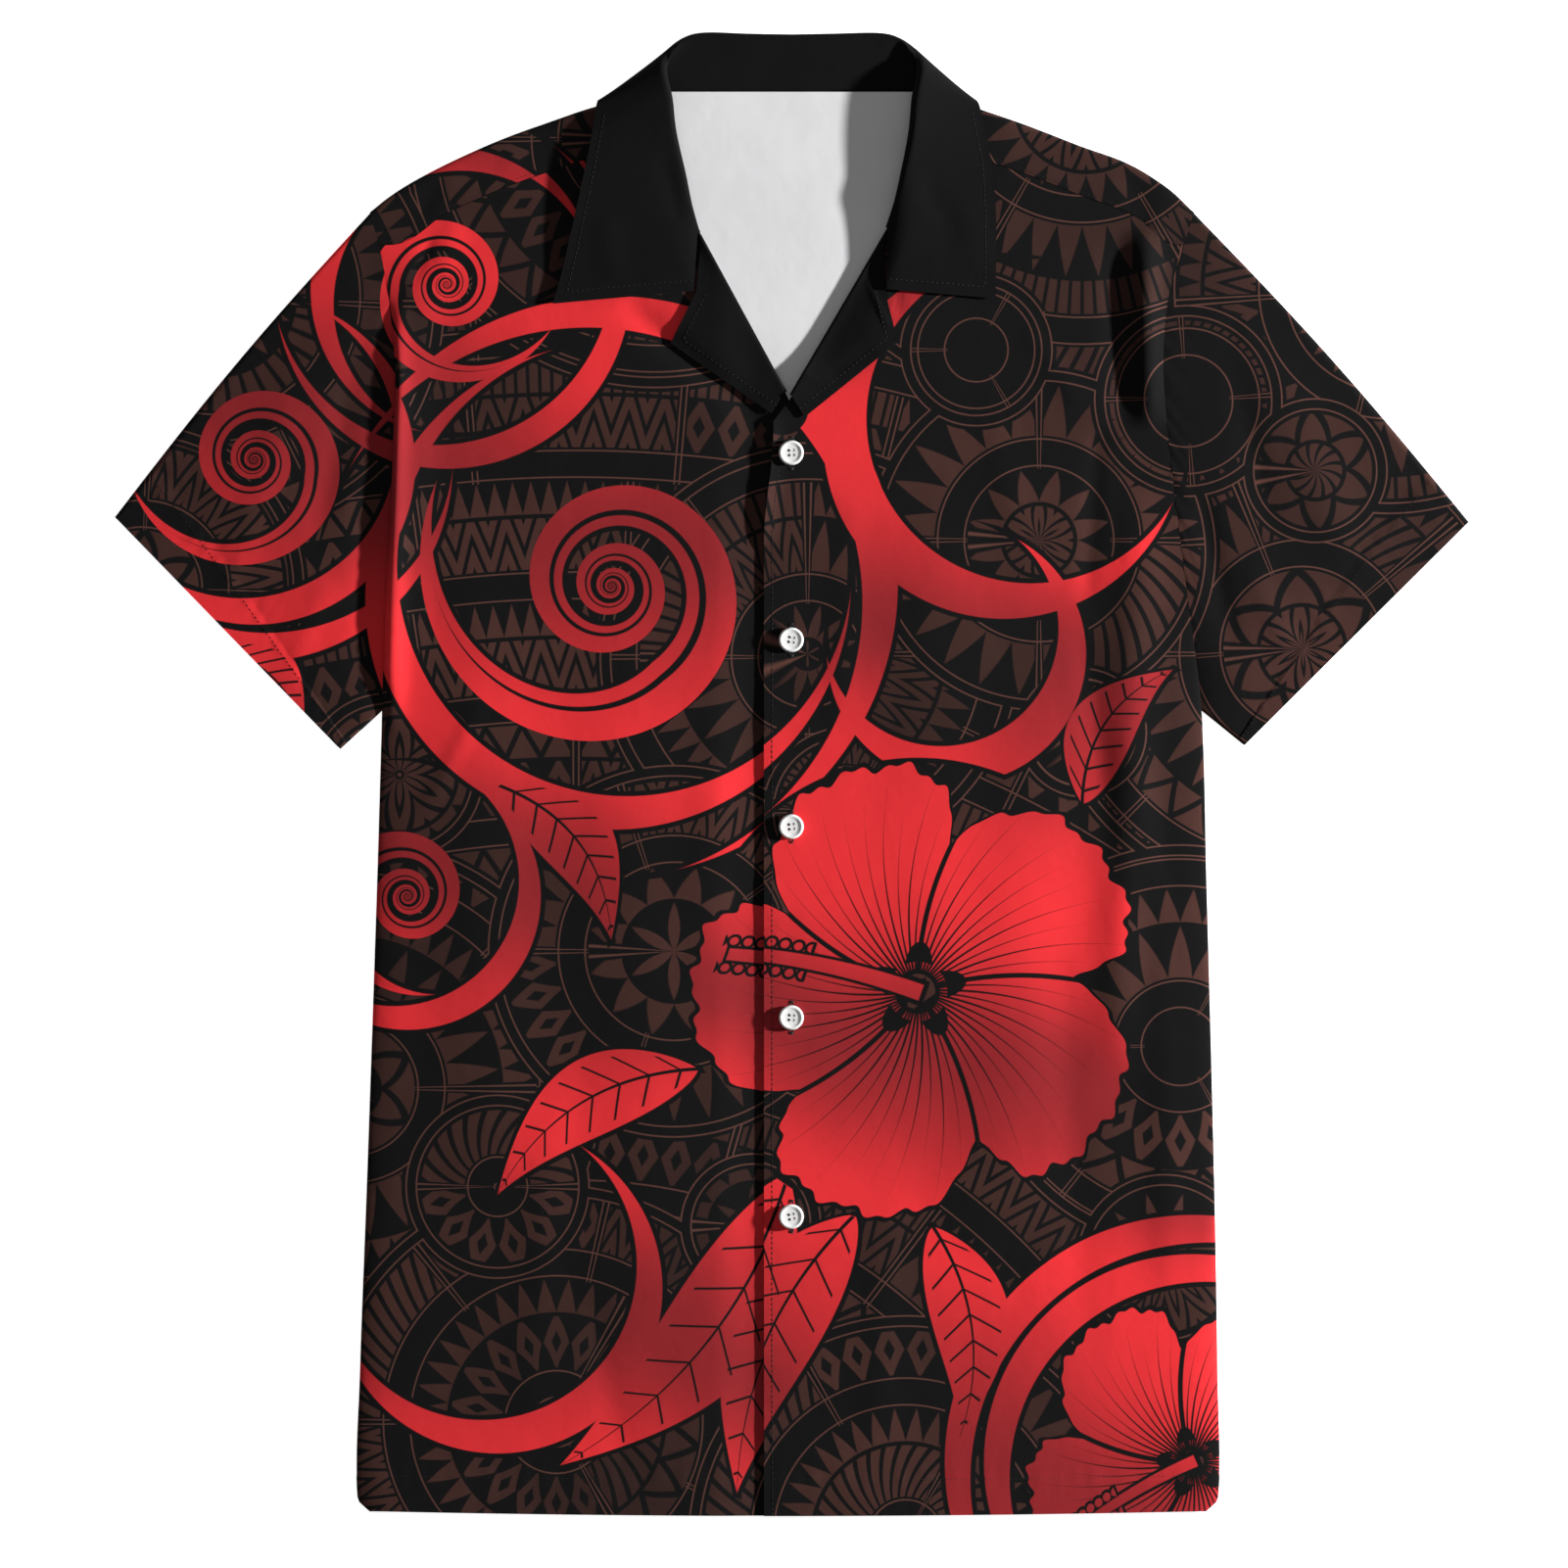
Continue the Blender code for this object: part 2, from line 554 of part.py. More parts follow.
def make_lapel(side):
    """The facing turned back on a front, its points those of the front moved up."""
    sign = 1 if side == "left" else -1
    break_end, foot, tip, notch, gorge = (Vector(c) for c in LAPEL[side])
    rim = (foot, tip, notch, gorge)
    grid = []
    for up, place in zip(LAPEL_INNER, LAPEL_OUTER):
        inner = break_end.lerp(gorge, up)
        n = int(place)
        outer = rim[n].lerp(rim[n + 1], place - n)
        row = []
        for j in range(LAPEL_COLUMNS):
            p = inner.lerp(outer, j / (LAPEL_COLUMNS - 1))
            z = front_mid(p.x, p.y, side) + WALL + LAY_GAP
            row.append(Vector((sign * p.x, p.y, z)))
        grid.append(row[::sign])
    return cloth("lapel_" + side, grid, WALL, "plain_dark")


def collar_sections(side):
    """Sections of one half of the collar, on smooth curves through the table's rows."""
    rows = COLLAR[side] + (COLLAR_MIDDLE,)
    sections = []
    for n in range(len(rows) - 1):
        here, there = rows[n], rows[n + 1]
        before, after = rows[max(n - 1, 0)], rows[min(n + 2, len(rows) - 1)]
        for k in range(COLLAR_STEPS):
            t = k / COLLAR_STEPS
            values = []
            for a, b, c, d in zip(before, here, there, after):
                slope_b, slope_c = (c - a) / 2, (d - b) / 2
                values.append(
                    (2 * t**3 - 3 * t**2 + 1) * b
                    + (t**3 - 2 * t**2 + t) * slope_b
                    + (3 * t**2 - 2 * t**3) * c
                    + (t**3 - t**2) * slope_c
                )
            sections.append(Section(*values))
    return sections


def collar_line(section, side):
    """Middle of the collar's wall on one section: up the stand, round the roll and down the leaf."""
    seam = Vector((section.seam_x, section.seam_y, section.seam_z))
    roll = Vector((section.roll_x, section.roll_y, section.roll_z))
    edge = Vector((section.edge_x, section.edge_y, section.edge_z))
    bend = section.bend
    inward = Vector((edge.x - roll.x, edge.y - roll.y, 0)).normalized()
    aside = Vector((-inward.y, inward.x, 0))
    turn = math.radians(section.turn)
    facing = Vector((0, 0, math.cos(turn))) + aside * math.sin(turn)
    centre = roll + inward * bend
    line = [seam.lerp(centre - facing * bend, t) for t in STAND_SHARES]
    for angle in map(math.radians, COLLAR_TURNS):
        line.append(centre - inward * bend * math.cos(angle) + facing * bend * math.sin(angle))
    start = centre + facing * bend
    first = COLLAR[side][0]
    gorge, tip = Vector((first.roll_x, first.roll_y)), Vector((first.edge_x, first.edge_y))
    notch = Vector(NOTCH[side])
    for t in COLLAR_SHARES:
        if t < NOTCH_SHARE:
            corner = gorge.lerp(notch, t / NOTCH_SHARE)
        else:
            corner = notch.lerp(tip, (t - NOTCH_SHARE) / (1 - NOTCH_SHARE))
        bow = (corner - gorge.lerp(tip, t)) * section.pull
        point = start.lerp(edge, t) + Vector((bow.x, bow.y, 0))
        point.z = mix(edge.z, start.z, (1 - t) ** LEAF_FALL)
        line.append(point)
    return line


def make_collar():
    grid = []
    for section in collar_sections("right"):
        grid.append([Vector((-p.x, p.y, p.z)) for p in collar_line(section, "right")])
    grid.append(collar_line(COLLAR_MIDDLE, "left"))
    for section in collar_sections("left")[::-1]:
        grid.append(collar_line(section, "left"))
    return cloth("collar", grid, COLLAR_WALL, "plain_dark")


def button_mesh():
    """A turned disc with a raised rim and four holes."""
    mesh = bpy.data.meshes.new("button")
    build = bmesh.new()
    verts = [build.verts.new((r * BUTTON_R, 0, z * BUTTON_H)) for r, z in BUTTON_PROFILE]
    edges = [build.edges.new(pair) for pair in zip(verts, verts[1:])]
    bmesh.ops.spin(
        build,
        geom=verts + edges,
        cent=(0, 0, 0),
        axis=(0, 0, 1),
        angle=math.tau,
        steps=BUTTON_SIDES,
        use_merge=True,
    )
    bmesh.ops.remove_doubles(build, verts=build.verts, dist=1e-6)
    bmesh.ops.recalc_face_normals(build, faces=build.faces)
    build.to_mesh(mesh)
    build.free()
    blank = bpy.data.objects.new("button_blank", mesh)
    bpy.context.scene.collection.objects.link(blank)
    drills = []
    for n in range(BUTTON_HOLES):
        angle = math.tau * (n + 0.5) / BUTTON_HOLES
        drill_mesh = bpy.data.meshes.new("drill")
        build = bmesh.new()
        bmesh.ops.create_cone(
            build,
            cap_ends=True,
            segments=DRILL_SIDES,
            radius1=BUTTON_HOLE_R,
            radius2=BUTTON_HOLE_R,
            depth=4 * BUTTON_H,
        )
        build.to_mesh(drill_mesh)
        build.free()
        drill = bpy.data.objects.new("drill", drill_mesh)
        drill.location = (BUTTON_HOLE_RING * math.cos(angle), BUTTON_HOLE_RING * math.sin(angle), 0)
        bpy.context.scene.collection.objects.link(drill)
        cut = blank.modifiers.new("hole", "BOOLEAN")
        cut.object = drill
        drills.append(drill)
    bpy.context.view_layer.update()
    holed = bpy.data.meshes.new_from_object(blank.evaluated_get(bpy.context.evaluated_depsgraph_get()))
    for thing in drills + [blank]:
        bpy.data.objects.remove(thing, do_unlink=True)
    holed.shade_smooth()
    holed.set_sharp_from_angle(angle=BUTTON_SHARP)
    return holed


def make_buttons():
    mesh = button_mesh()
    for n, y in enumerate(BUTTON_LEVELS, 1):
        node = bpy.data.objects.new(f"button_{n}", mesh if n == 1 else mesh.copy())
        top = max(front_mid(BUTTON_X + out, y, "left") for out in (-BUTTON_R, 0, BUTTON_R)) + WALL / 2
        node.location = (BUTTON_X, y, top + SEAM_GAP)
        bpy.context.scene.collection.objects.link(node)
        finish(node, "button_white")


clear_scene()
make_back()
for wearer_side in ("right", "left"):
    make_front(wearer_side)
    make_sleeve(wearer_side)
    make_lapel(wearer_side)
make_collar()
make_buttons()
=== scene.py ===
"""Looks of a short-sleeved camp-collar shirt that lies flat on its back, buttoned up.

+X points to the wearer's left sleeve, +Y to the collar and +Z up. Sizes are in metres; the print's own are in
millimetres. "right" and "left" are the wearer's.
"""
import json
import math
from collections import namedtuple

import bmesh
import bpy
import numpy as np
from mathutils import Matrix, Vector
from mathutils.bvhtree import BVHTree

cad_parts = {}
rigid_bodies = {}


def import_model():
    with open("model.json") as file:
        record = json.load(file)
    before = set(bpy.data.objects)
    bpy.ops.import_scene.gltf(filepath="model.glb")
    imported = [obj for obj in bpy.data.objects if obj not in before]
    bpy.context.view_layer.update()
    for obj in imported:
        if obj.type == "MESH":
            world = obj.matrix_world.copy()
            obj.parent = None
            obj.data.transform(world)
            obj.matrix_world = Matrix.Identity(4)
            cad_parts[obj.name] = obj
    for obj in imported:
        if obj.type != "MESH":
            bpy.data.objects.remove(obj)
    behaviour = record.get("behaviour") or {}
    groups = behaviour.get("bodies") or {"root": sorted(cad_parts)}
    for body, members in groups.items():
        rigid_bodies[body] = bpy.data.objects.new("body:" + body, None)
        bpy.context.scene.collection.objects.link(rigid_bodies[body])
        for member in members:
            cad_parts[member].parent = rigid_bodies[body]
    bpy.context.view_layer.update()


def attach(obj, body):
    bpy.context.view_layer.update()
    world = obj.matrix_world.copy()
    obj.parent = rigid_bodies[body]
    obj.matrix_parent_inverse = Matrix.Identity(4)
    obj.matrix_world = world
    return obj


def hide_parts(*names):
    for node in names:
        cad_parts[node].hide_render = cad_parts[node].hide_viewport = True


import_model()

# The photograph: the shirt's origin and the length of a pixel, and the frame's side
ORIGIN_X, ORIGIN_Y = 808.5, 791.0
PIXEL = 0.0005
FRAME_SIDE = 1601
CAMERA_HEIGHT = 3.0
SENSOR = 0.036

# Cloth
WALL = 0.0009
HEM_WALL = 0.0014
COLLAR_WALL = 0.0011
SEAM_GAP = 0.0003
LAY_GAP = 0.0007
FINE = 0.0024  # length of a mesh cell
COARSE = 0.0040  # the same on the side that lies underneath
OVERLOCK = 0.009  # width of the overlocked edge of a seam, seen from inside
OVERLOCK_CLEAR = 0.002  # it stays this far out from the neck
SHARP = 55  # degrees between two faces from which their edge is sharp

# Body
HEM_Y = -0.3780
LOW_Y = -0.3755
HEM_DEPTH = 0.0200
UNDERARM_Y = 0.033
CORNER_Y = 0.2700  # a front's top corner
TIP_Y = 0.2865
NECK_Y = 0.3483
SEAM_DROP = 0.0250
SEAM_TURN_X = 0.177  # from here a shoulder seam turns down to the front's top corner
SHOULDER_BEND = 0.0016
LAP_LEFT = -0.0150
LAP_RIGHT = 0.0110
LAP_BEND = 0.0048
LAP_BEND_FROM = 0.120
LAP_BEND_RUN = 0.055

# Heights of the middle of the front wall
FRONT_SIDE = 0.0019
FRONT_CREST = 0.0038
FRONT_SHOULDER = 0.0005 + 2 * SHOULDER_BEND
LAP_DIP = 0.0015
LAP_DIP_END = 0.040
LAP_DIP_RUN = 0.022
SIDE_ROUND = 0.016
STEEP_ROUND = 0.0028  # where the right front stands over its sleeve
STEEP_FROM = 0.020
STEEP_TO = 0.255
STEEP_RUN = 0.035
SIDE_INSET = 0.0001
NECK_LIFT = 0.0017
NECK_LIFT_FROM = 0.309
NECK_LIFT_RUN = 0.016
NECK_LIFT_HALF = 0.128
NECK_LIFT_SIDE = 0.024
NECK_LIFT_LONGER = 0.017  # the back starts to rise this much lower than the fronts
ARMHOLE_RISE = 0.060

# Puckers beside each kind of seam: how far they reach from it, their height and their length. The waves come
# earlier and later by this many radians, to and fro within this many lengths.
PUCKER_SWING = 1.7
PUCKER_SWING_LENGTH = 4.3
SIDE_PUCKERS = (0.010, 0.00022, 0.013)
HEM_PUCKERS = (0.006, 0.00012, 0.011)
PLACKET_PUCKERS = (0.004, 0.00012, 0.012)
NECK_PUCKERS = (0.006, 0.0001, 0.012)
ARMHOLE_PUCKERS = (0.010, 0.0002, 0.013)

# Sleeves
ARM_GAP = 0.00002
SLEEVE_BEND = 0.0013
SLEEVE_PUFF = 0.0014
SLEEVE_PUFF_RUN = 1.15
SLEEVE_PUFF_POWER = 0.7
SLEEVE_BULGE = (0.0019, 0.0023)
SLEEVE_SETTLE = 4
SLEEVE_LENGTH = 0.150
SLEEVE_HEM = 0.022
UNDERARM_BEND = 0.0008
SLEEVE_CORNERS = {
    "right": ((0.3453, 0.1315), (0.2303, 0.0130)),
    "left": ((0.3453, 0.1290), (0.2308, 0.0150)),
}

# Buttons
BUTTON_R = 0.00635
BUTTON_H = 0.0026
BUTTON_HOLE_R = 0.00075
BUTTON_HOLE_RING = 0.0017
BUTTON_SIDES = 64
BUTTON_SHARP = 40
BUTTON_DISH = 0.79  # share of its height where the thread lies
BUTTON_X = -0.0003
BUTTON_LEVELS = (0.1640, 0.0687, -0.0265, -0.1238, -0.2252)
BUTTON_TURNS = (3.0, -8.0, 6.0, -4.0, 11.0)
BUTTONHOLE = 0.0150
BUTTONHOLE_SIDE = 0.00085  # from the slit to the middle of the thread beside it

# Sewing
TOPSTITCH_IN = 0.0055
PLACKET_STITCH_IN = 0.0050
HEM_STITCH_DOWN = 0.0015  # from the inner edge of a hem
HEM_STITCH_FROM = {"right": 0.012, "left": -0.009}
HEM_STITCH_END = 0.004  # from the side edge
SHOULDER_STITCH_IN = 0.0022
PLACKET_TOP = 0.168
THREAD_RISE = 0.00006
THREAD_DROP_FROM = 0.05  # a line is laid on a piece from this far above or below
BUTTON_THREAD = 0.00028  # half the length of the row of turns through two holes
TOPSTITCH = {"Pitch": 0.0026, "Length": 0.0021, "Width": 0.00034, "Turn": 0.0, "Unevenness": 0.03}
FINE_STITCH = {**TOPSTITCH, "Pitch": 0.0025, "Length": 0.0016, "Width": 0.00022}
HOLE_STITCH = {"Pitch": 0.00046, "Length": 0.0013, "Width": 0.00046, "Turn": math.pi / 2, "Unevenness": 0.05}
BAR_TACK = {**HOLE_STITCH, "Length": 0.0031, "Pitch": 0.00030}
BAR_TACK_RUN = 0.0009
BUTTON_BARS = {"Pitch": 0.00027, "Width": 0.00024, "Turn": math.pi / 2, "Unevenness": 0.04}



def table(fields, rows):
    """Rows of numbers under the names of their columns."""
    row_kind = namedtuple("Row", fields)
    return tuple(row_kind(*row) for row in rows)


BODY = table("y right left", (
    (-0.3755, 0.2150, 0.2110),
    (-0.3690, 0.2213, 0.2172),
    (-0.3050, 0.2202, 0.2170),
    (-0.2050, 0.2165, 0.2153),
    (-0.0545, 0.2114, 0.2114),
    (0.0330, 0.2088, 0.2088),
    (0.0905, 0.2067, 0.2018),
    (0.1300, 0.2045, 0.1968),
    (0.1765, 0.2027, 0.1915),
    (0.2080, 0.2020, 0.1892),
    (0.2425, 0.2055, 0.1918),
    (0.2700, 0.2105, 0.2000),
    (0.2865, 0.2150, 0.2050),
))
SHOULDER = table("x right left", (
    (0.078, 0.3455, 0.3450),
    (0.100, 0.3402, 0.3375),
    (0.122, 0.3330, 0.3300),
    (0.147, 0.3240, 0.3203),
    (0.172, 0.3130, 0.3110),
    (0.192, 0.3027, 0.2985),
    (0.205, 0.2945, 0.2865),
    (0.215, 0.2865, 0.2790),
))
NECK = {
    "right": ((-0.0110, 0.1705), (0.0016, 0.1914), (0.0467, 0.2740), (0.0625, 0.3000), (0.0780, 0.3205)),
    "left": ((-0.0095, 0.1800), (-0.0010, 0.1914), (0.0485, 0.2765), (0.0635, 0.3010), (0.0780, 0.3200)),
}
SIDE_COLUMNS = (0.0165, 0.0140, 0.0115, 0.0090, 0.0067, 0.0048, 0.0032, 0.0019, 0.0010, 0.0004, 0.0)
FOLD_TURNS = (-68, -45, -22, 0, 22, 45, 68)
STRAP_ROWS = 8  # of the back between the fold over a shoulder and the seam in front of it

# Folds and creases of each piece: both ends (x0, y0, x1, y1), the width and the height, which is negative in a
# trough. "body" is both fronts and "strap" the back in front of the shoulders.
FOLDS = {
    "body": (
        (0.1795, 0.2800, 0.1835, 0.1750, 0.0075, 0.0050),
        (0.1780, 0.1500, 0.1650, -0.1600, 0.0120, 0.0022),
        (0.1650, 0.2750, 0.1690, 0.1750, 0.0080, -0.0014),
        (0.1250, 0.0600, 0.1050, -0.2500, 0.0240, 0.0013),
        (-0.1930, 0.2700, -0.1950, 0.0350, 0.0100, 0.0014),
        (-0.1650, 0.1200, -0.1500, -0.2400, 0.0260, 0.0013),
        (-0.0900, 0.0900, -0.0700, -0.3000, 0.0280, 0.0010),
        (0.0700, 0.1400, 0.0750, -0.1500, 0.0260, 0.0010),
        (-0.0880, 0.2420, -0.0130, 0.1790, 0.0070, -0.0016),
        (-0.1830, 0.2740, -0.1950, 0.2480, 0.0024, -0.0007),
        (-0.1700, 0.2860, -0.1870, 0.2300, 0.0070, 0.0007),
        (-0.1560, 0.0400, -0.1900, -0.0250, 0.0050, 0.0005),
        (-0.1200, -0.1500, -0.1340, -0.3300, 0.0110, 0.0006),
        (-0.0400, 0.0600, -0.0460, -0.1200, 0.0100, 0.0004),
        (-0.1050, -0.2600, -0.0800, -0.3700, 0.0090, -0.0005),
        (0.1560, 0.1800, 0.1500, 0.0850, 0.0050, -0.0008),
        (0.1480, 0.0780, 0.1660, -0.0600, 0.0060, -0.0006),
        (0.1700, 0.0300, 0.1880, -0.0700, 0.0070, 0.0006),
        (0.1880, -0.0600, 0.1930, -0.2800, 0.0090, 0.0007),
        (0.1350, -0.0700, 0.1500, -0.3000, 0.0100, -0.0005),
        (0.0500, -0.2100, 0.0420, -0.3600, 0.0100, 0.0005),
        (0.0300, 0.1500, 0.0240, 0.0200, 0.0080, 0.0004),
        (0.1000, 0.1900, 0.1250, 0.0900, 0.0090, 0.0005),
        (0.1180, 0.2300, 0.1500, 0.1850, 0.0060, 0.0005),
    ),
    "front_right": (
        (-0.2015, 0.2450, -0.2045, 0.0200, 0.0060, 0.0044),
    ),
    "front_left": (
        (-0.0110, 0.1860, -0.0165, 0.1150, 0.0055, 0.0024),
        (0.0080, 0.2040, 0.0480, 0.2780, 0.0120, -0.0026),
        (0.0375, 0.2540, 0.0500, 0.2260, 0.0016, 0.0005),
        (0.0500, 0.2640, 0.0560, 0.2330, 0.0016, -0.0006),
        (0.0180, 0.2030, 0.0420, 0.2180, 0.0045, -0.0005),
        (-0.0160, 0.0400, -0.0050, -0.0080, 0.0060, 0.0003),
        (-0.0130, -0.0500, -0.0060, -0.1000, 0.0060, 0.0003),
    ),
    "sleeve": (
        (0.2150, 0.2600, 0.2950, 0.0950, 0.0180, 0.0012),
        (-0.2300, 0.2450, -0.3050, 0.1150, 0.0200, 0.0012),
        (0.2080, 0.1450, 0.2250, 0.0600, 0.0060, -0.0010),
        (0.2200, 0.2350, 0.2450, 0.1200, 0.0075, -0.0008),
        (0.2500, 0.2000, 0.2850, 0.1050, 0.0100, 0.0006),
        (0.2300, 0.1100, 0.2600, 0.0500, 0.0070, 0.0006),
        (-0.2120, 0.1500, -0.2180, 0.0400, 0.0080, -0.0013),
        (-0.2180, 0.2300, -0.2450, 0.1100, 0.0080, -0.0009),
        (-0.2520, 0.2000, -0.2900, 0.0900, 0.0090, 0.0007),
        (-0.2350, 0.1000, -0.2600, 0.0450, 0.0070, 0.0006),
    ),
    "strap": (
        (0.1370, 0.3160, 0.1440, 0.3060, 0.0030, -0.0004),
        (0.1700, 0.3060, 0.1790, 0.2920, 0.0035, -0.0005),
        (0.1900, 0.2950, 0.1990, 0.2800, 0.0030, 0.0004),
        (-0.1800, 0.3050, -0.1890, 0.2850, 0.0040, -0.0005),
        (-0.1400, 0.3200, -0.1460, 0.3050, 0.0040, 0.0003),
    ),
    "collar": (
        (-0.0960, 0.2860, -0.0900, 0.2500, 0.0070, 0.0006),
        (-0.0640, 0.3180, -0.0560, 0.2800, 0.0070, -0.0006),
        (0.0900, 0.2950, 0.0960, 0.2550, 0.0090, 0.0005),
        (0.0660, 0.3050, 0.0850, 0.2700, 0.0060, -0.0005),
    ),
}

LAPEL = {
    "right": ((0.0037, 0.1948), (0.0105, 0.1842), (0.0618, 0.2200), (0.0487, 0.2462), (0.0462, 0.2728)),
    "left": ((-0.0001, 0.1931), (0.0065, 0.1822), (0.0540, 0.2205), (0.0473, 0.2472), (0.0478, 0.2750)),
}
LAPEL_INNER = (0.0, 0.10, 0.20, 0.30, 0.40, 0.50, 0.60, 0.72, 0.86, 1.0)
LAPEL_OUTER = (0.0, 0.2, 0.4, 0.6, 0.8, 1.0, 1.5, 2.0, 2.4, 2.8)
LAPEL_STEPS = 7
LAPEL_COLUMNS = 22
ROLL_TURNS = (0, 25, 50, 75, 100, 125, 150)
ROLL_R = 0.0008
LAPEL_TUCK = ((0.0012, 0.0004), (0.0024, 0.0010), (0.0036, 0.0015), (0.0048, 0.0018))
LAPEL_TUCKED_COLUMNS = 3
LAPEL_SPRING = 0.0008  # how far a lapel rises towards its roll

# Sections of the collar from each front end to the middle of the back.
Section = namedtuple(
    "Section", "seam_x seam_y seam_z roll_x roll_y roll_z edge_x edge_y edge_z turn bend pull"
)
COLLAR = {
    "right": (
        Section(0.0468, 0.2768, 0.0033, 0.0473, 0.2762, 0.0052, 0.1218, 0.2400, 0.0064, 0, 0.0010, 1.00),
        Section(0.0545, 0.2890, 0.0041, 0.0512, 0.2900, 0.0064, 0.1172, 0.2560, 0.0064, 0, 0.0015, 0.72),
        Section(0.0612, 0.2995, 0.0045, 0.0545, 0.3060, 0.0073, 0.1130, 0.2740, 0.0076, 0, 0.0018, 0.45),
        Section(0.0762, 0.3205, 0.0056, 0.0592, 0.3270, 0.0081, 0.1065, 0.3030, 0.0090, 0, 0.0020, 0.15),
        Section(0.0768, 0.3340, 0.0058, 0.0612, 0.3440, 0.0083, 0.1020, 0.3250, 0.0088, 4, 0.0020, 0.0),
        Section(0.0768, 0.3392, 0.0057, 0.0630, 0.3520, 0.0081, 0.1000, 0.3385, 0.0072, 22, 0.0020, 0.0),
        Section(0.0768, 0.3434, 0.0050, 0.0642, 0.3585, 0.0067, 0.0990, 0.3424, 0.0060, 54, 0.0020, 0.0),
        Section(0.0766, 0.3465, 0.0039, 0.0638, 0.3640, 0.0050, 0.0986, 0.3432, 0.0040, 90, 0.0020, 0.0),
        Section(0.0748, 0.3486, 0.0027, 0.0610, 0.3695, 0.0034, 0.0976, 0.3420, 0.0018, 130, 0.0018, 0.0),
        Section(0.0700, 0.3493, 0.0023, 0.0550, 0.3755, 0.0023, 0.0920, 0.3380, 0.0007, 165, 0.0015, 0.0),
        Section(0.0560, 0.3493, 0.0023, 0.0440, 0.3782, 0.0019, 0.0740, 0.3330, 0.0006, 180, 0.0013, 0.0),
        Section(0.0280, 0.3493, 0.0023, 0.0220, 0.3776, 0.0019, 0.0370, 0.3297, 0.0006, 180, 0.0013, 0.0),
    ),
    "left": (
        Section(0.0486, 0.2794, 0.0033, 0.0483, 0.2788, 0.0054, 0.1038, 0.2425, 0.0064, 0, 0.0010, 1.00),
        Section(0.0561, 0.2905, 0.0041, 0.0526, 0.2920, 0.0072, 0.1040, 0.2620, 0.0064, 0, 0.0019, 0.72),
        Section(0.0620, 0.3002, 0.0046, 0.0562, 0.3080, 0.0088, 0.1040, 0.2820, 0.0066, 0, 0.0025, 0.45),
        Section(0.0762, 0.3200, 0.0057, 0.0598, 0.3270, 0.0098, 0.1025, 0.3060, 0.0072, 0, 0.0029, 0.15),
        Section(0.0768, 0.3340, 0.0060, 0.0614, 0.3440, 0.0100, 0.0985, 0.3270, 0.0074, 4, 0.0029, 0.0),
        Section(0.0768, 0.3392, 0.0059, 0.0630, 0.3520, 0.0099, 0.0960, 0.3390, 0.0072, 22, 0.0027, 0.0),
        Section(0.0768, 0.3434, 0.0051, 0.0642, 0.3585, 0.0091, 0.0945, 0.3424, 0.0060, 54, 0.0024, 0.0),
        Section(0.0766, 0.3462, 0.0040, 0.0638, 0.3640, 0.0075, 0.0938, 0.3432, 0.0040, 90, 0.0021, 0.0),
        Section(0.0748, 0.3486, 0.0027, 0.0610, 0.3695, 0.0052, 0.0926, 0.3420, 0.0018, 130, 0.0018, 0.0),
        Section(0.0700, 0.3493, 0.0023, 0.0545, 0.3755, 0.0023, 0.0880, 0.3382, 0.0007, 165, 0.0015, 0.0),
        Section(0.0560, 0.3493, 0.0023, 0.0440, 0.3780, 0.0019, 0.0720, 0.3332, 0.0006, 180, 0.0013, 0.0),
        Section(0.0280, 0.3493, 0.0023, 0.0220, 0.3776, 0.0019, 0.0360, 0.3297, 0.0006, 180, 0.0013, 0.0),
    ),
}
COLLAR_MIDDLE = Section(0.0, 0.3493, 0.0023, 0.0, 0.3772, 0.0019, 0.0, 0.3290, 0.0006, 180, 0.0013, 0.0)
COLLAR_STEPS = 10
NOTCH = {"right": (0.0493, 0.2468), "left": (0.0476, 0.2478)}
NOTCH_SHARE = 0.27
STAND_SHARES = np.linspace(0.0, 1.0, 10)
COLLAR_TURNS = np.linspace(-72, 72, 7)
COLLAR_SHARES = np.concatenate((np.linspace(0.0, NOTCH_SHARE, 8)[:-1], np.linspace(NOTCH_SHARE, 1.0, 18)))
LEAF_FALL = 1.4  # how quickly the leaf comes down from the roll
FOLDED_FROM = 0.005  # above this height the collar has its folds
FOLDED_FADE = 6  # how quickly they start beside the roll
SHOWN_TURN = 12  # degrees; a section turned less than this shows its leaf from above

SIDES = (("right", -1), ("left", 1))


def mix(a, b, t):
    """a where t is 0 and b where it is 1."""
    return a + (b - a) * t


def soft_step(t):
    """From 0 to 1 as t does, with a level start and end."""
    t = np.clip(t, 0.0, 1.0)
    return t * t * (3.0 - 2.0 * t)


def curve(t, a, b, slope_a, slope_b):
    """From a to b as t goes from 0 to 1, with a slope at either end."""
    return (
        (2 * t**3 - 3 * t**2 + 1) * a
        + (t**3 - 2 * t**2 + t) * slope_a
        + (3 * t**2 - 2 * t**3) * b
        + (t**3 - t**2) * slope_b
    )


def along(rows, at, key, column):
    """The column's values at places on the key, on a smooth curve through the table's rows."""
    ks = np.array([getattr(row, key) for row in rows])
    vs = np.array([getattr(row, column) for row in rows])
    before = np.append(0, np.arange(len(ks) - 1))
    after = np.append(np.arange(1, len(ks)), len(ks) - 1)
    slopes = (vs[after] - vs[before]) / (ks[after] - ks[before])
    at = np.clip(at, ks[0], ks[-1])
    n = np.clip(np.searchsorted(ks, at, side="right") - 1, 0, len(ks) - 2)
    step = ks[n + 1] - ks[n]
    return curve((at - ks[n]) / step, vs[n], vs[n + 1], step * slopes[n], step * slopes[n + 1])


def runs_along(points):
    """How far along a line of points each of them is."""
    return np.concatenate(([0.0], np.cumsum(np.linalg.norm(np.diff(points, axis=0), axis=1))))


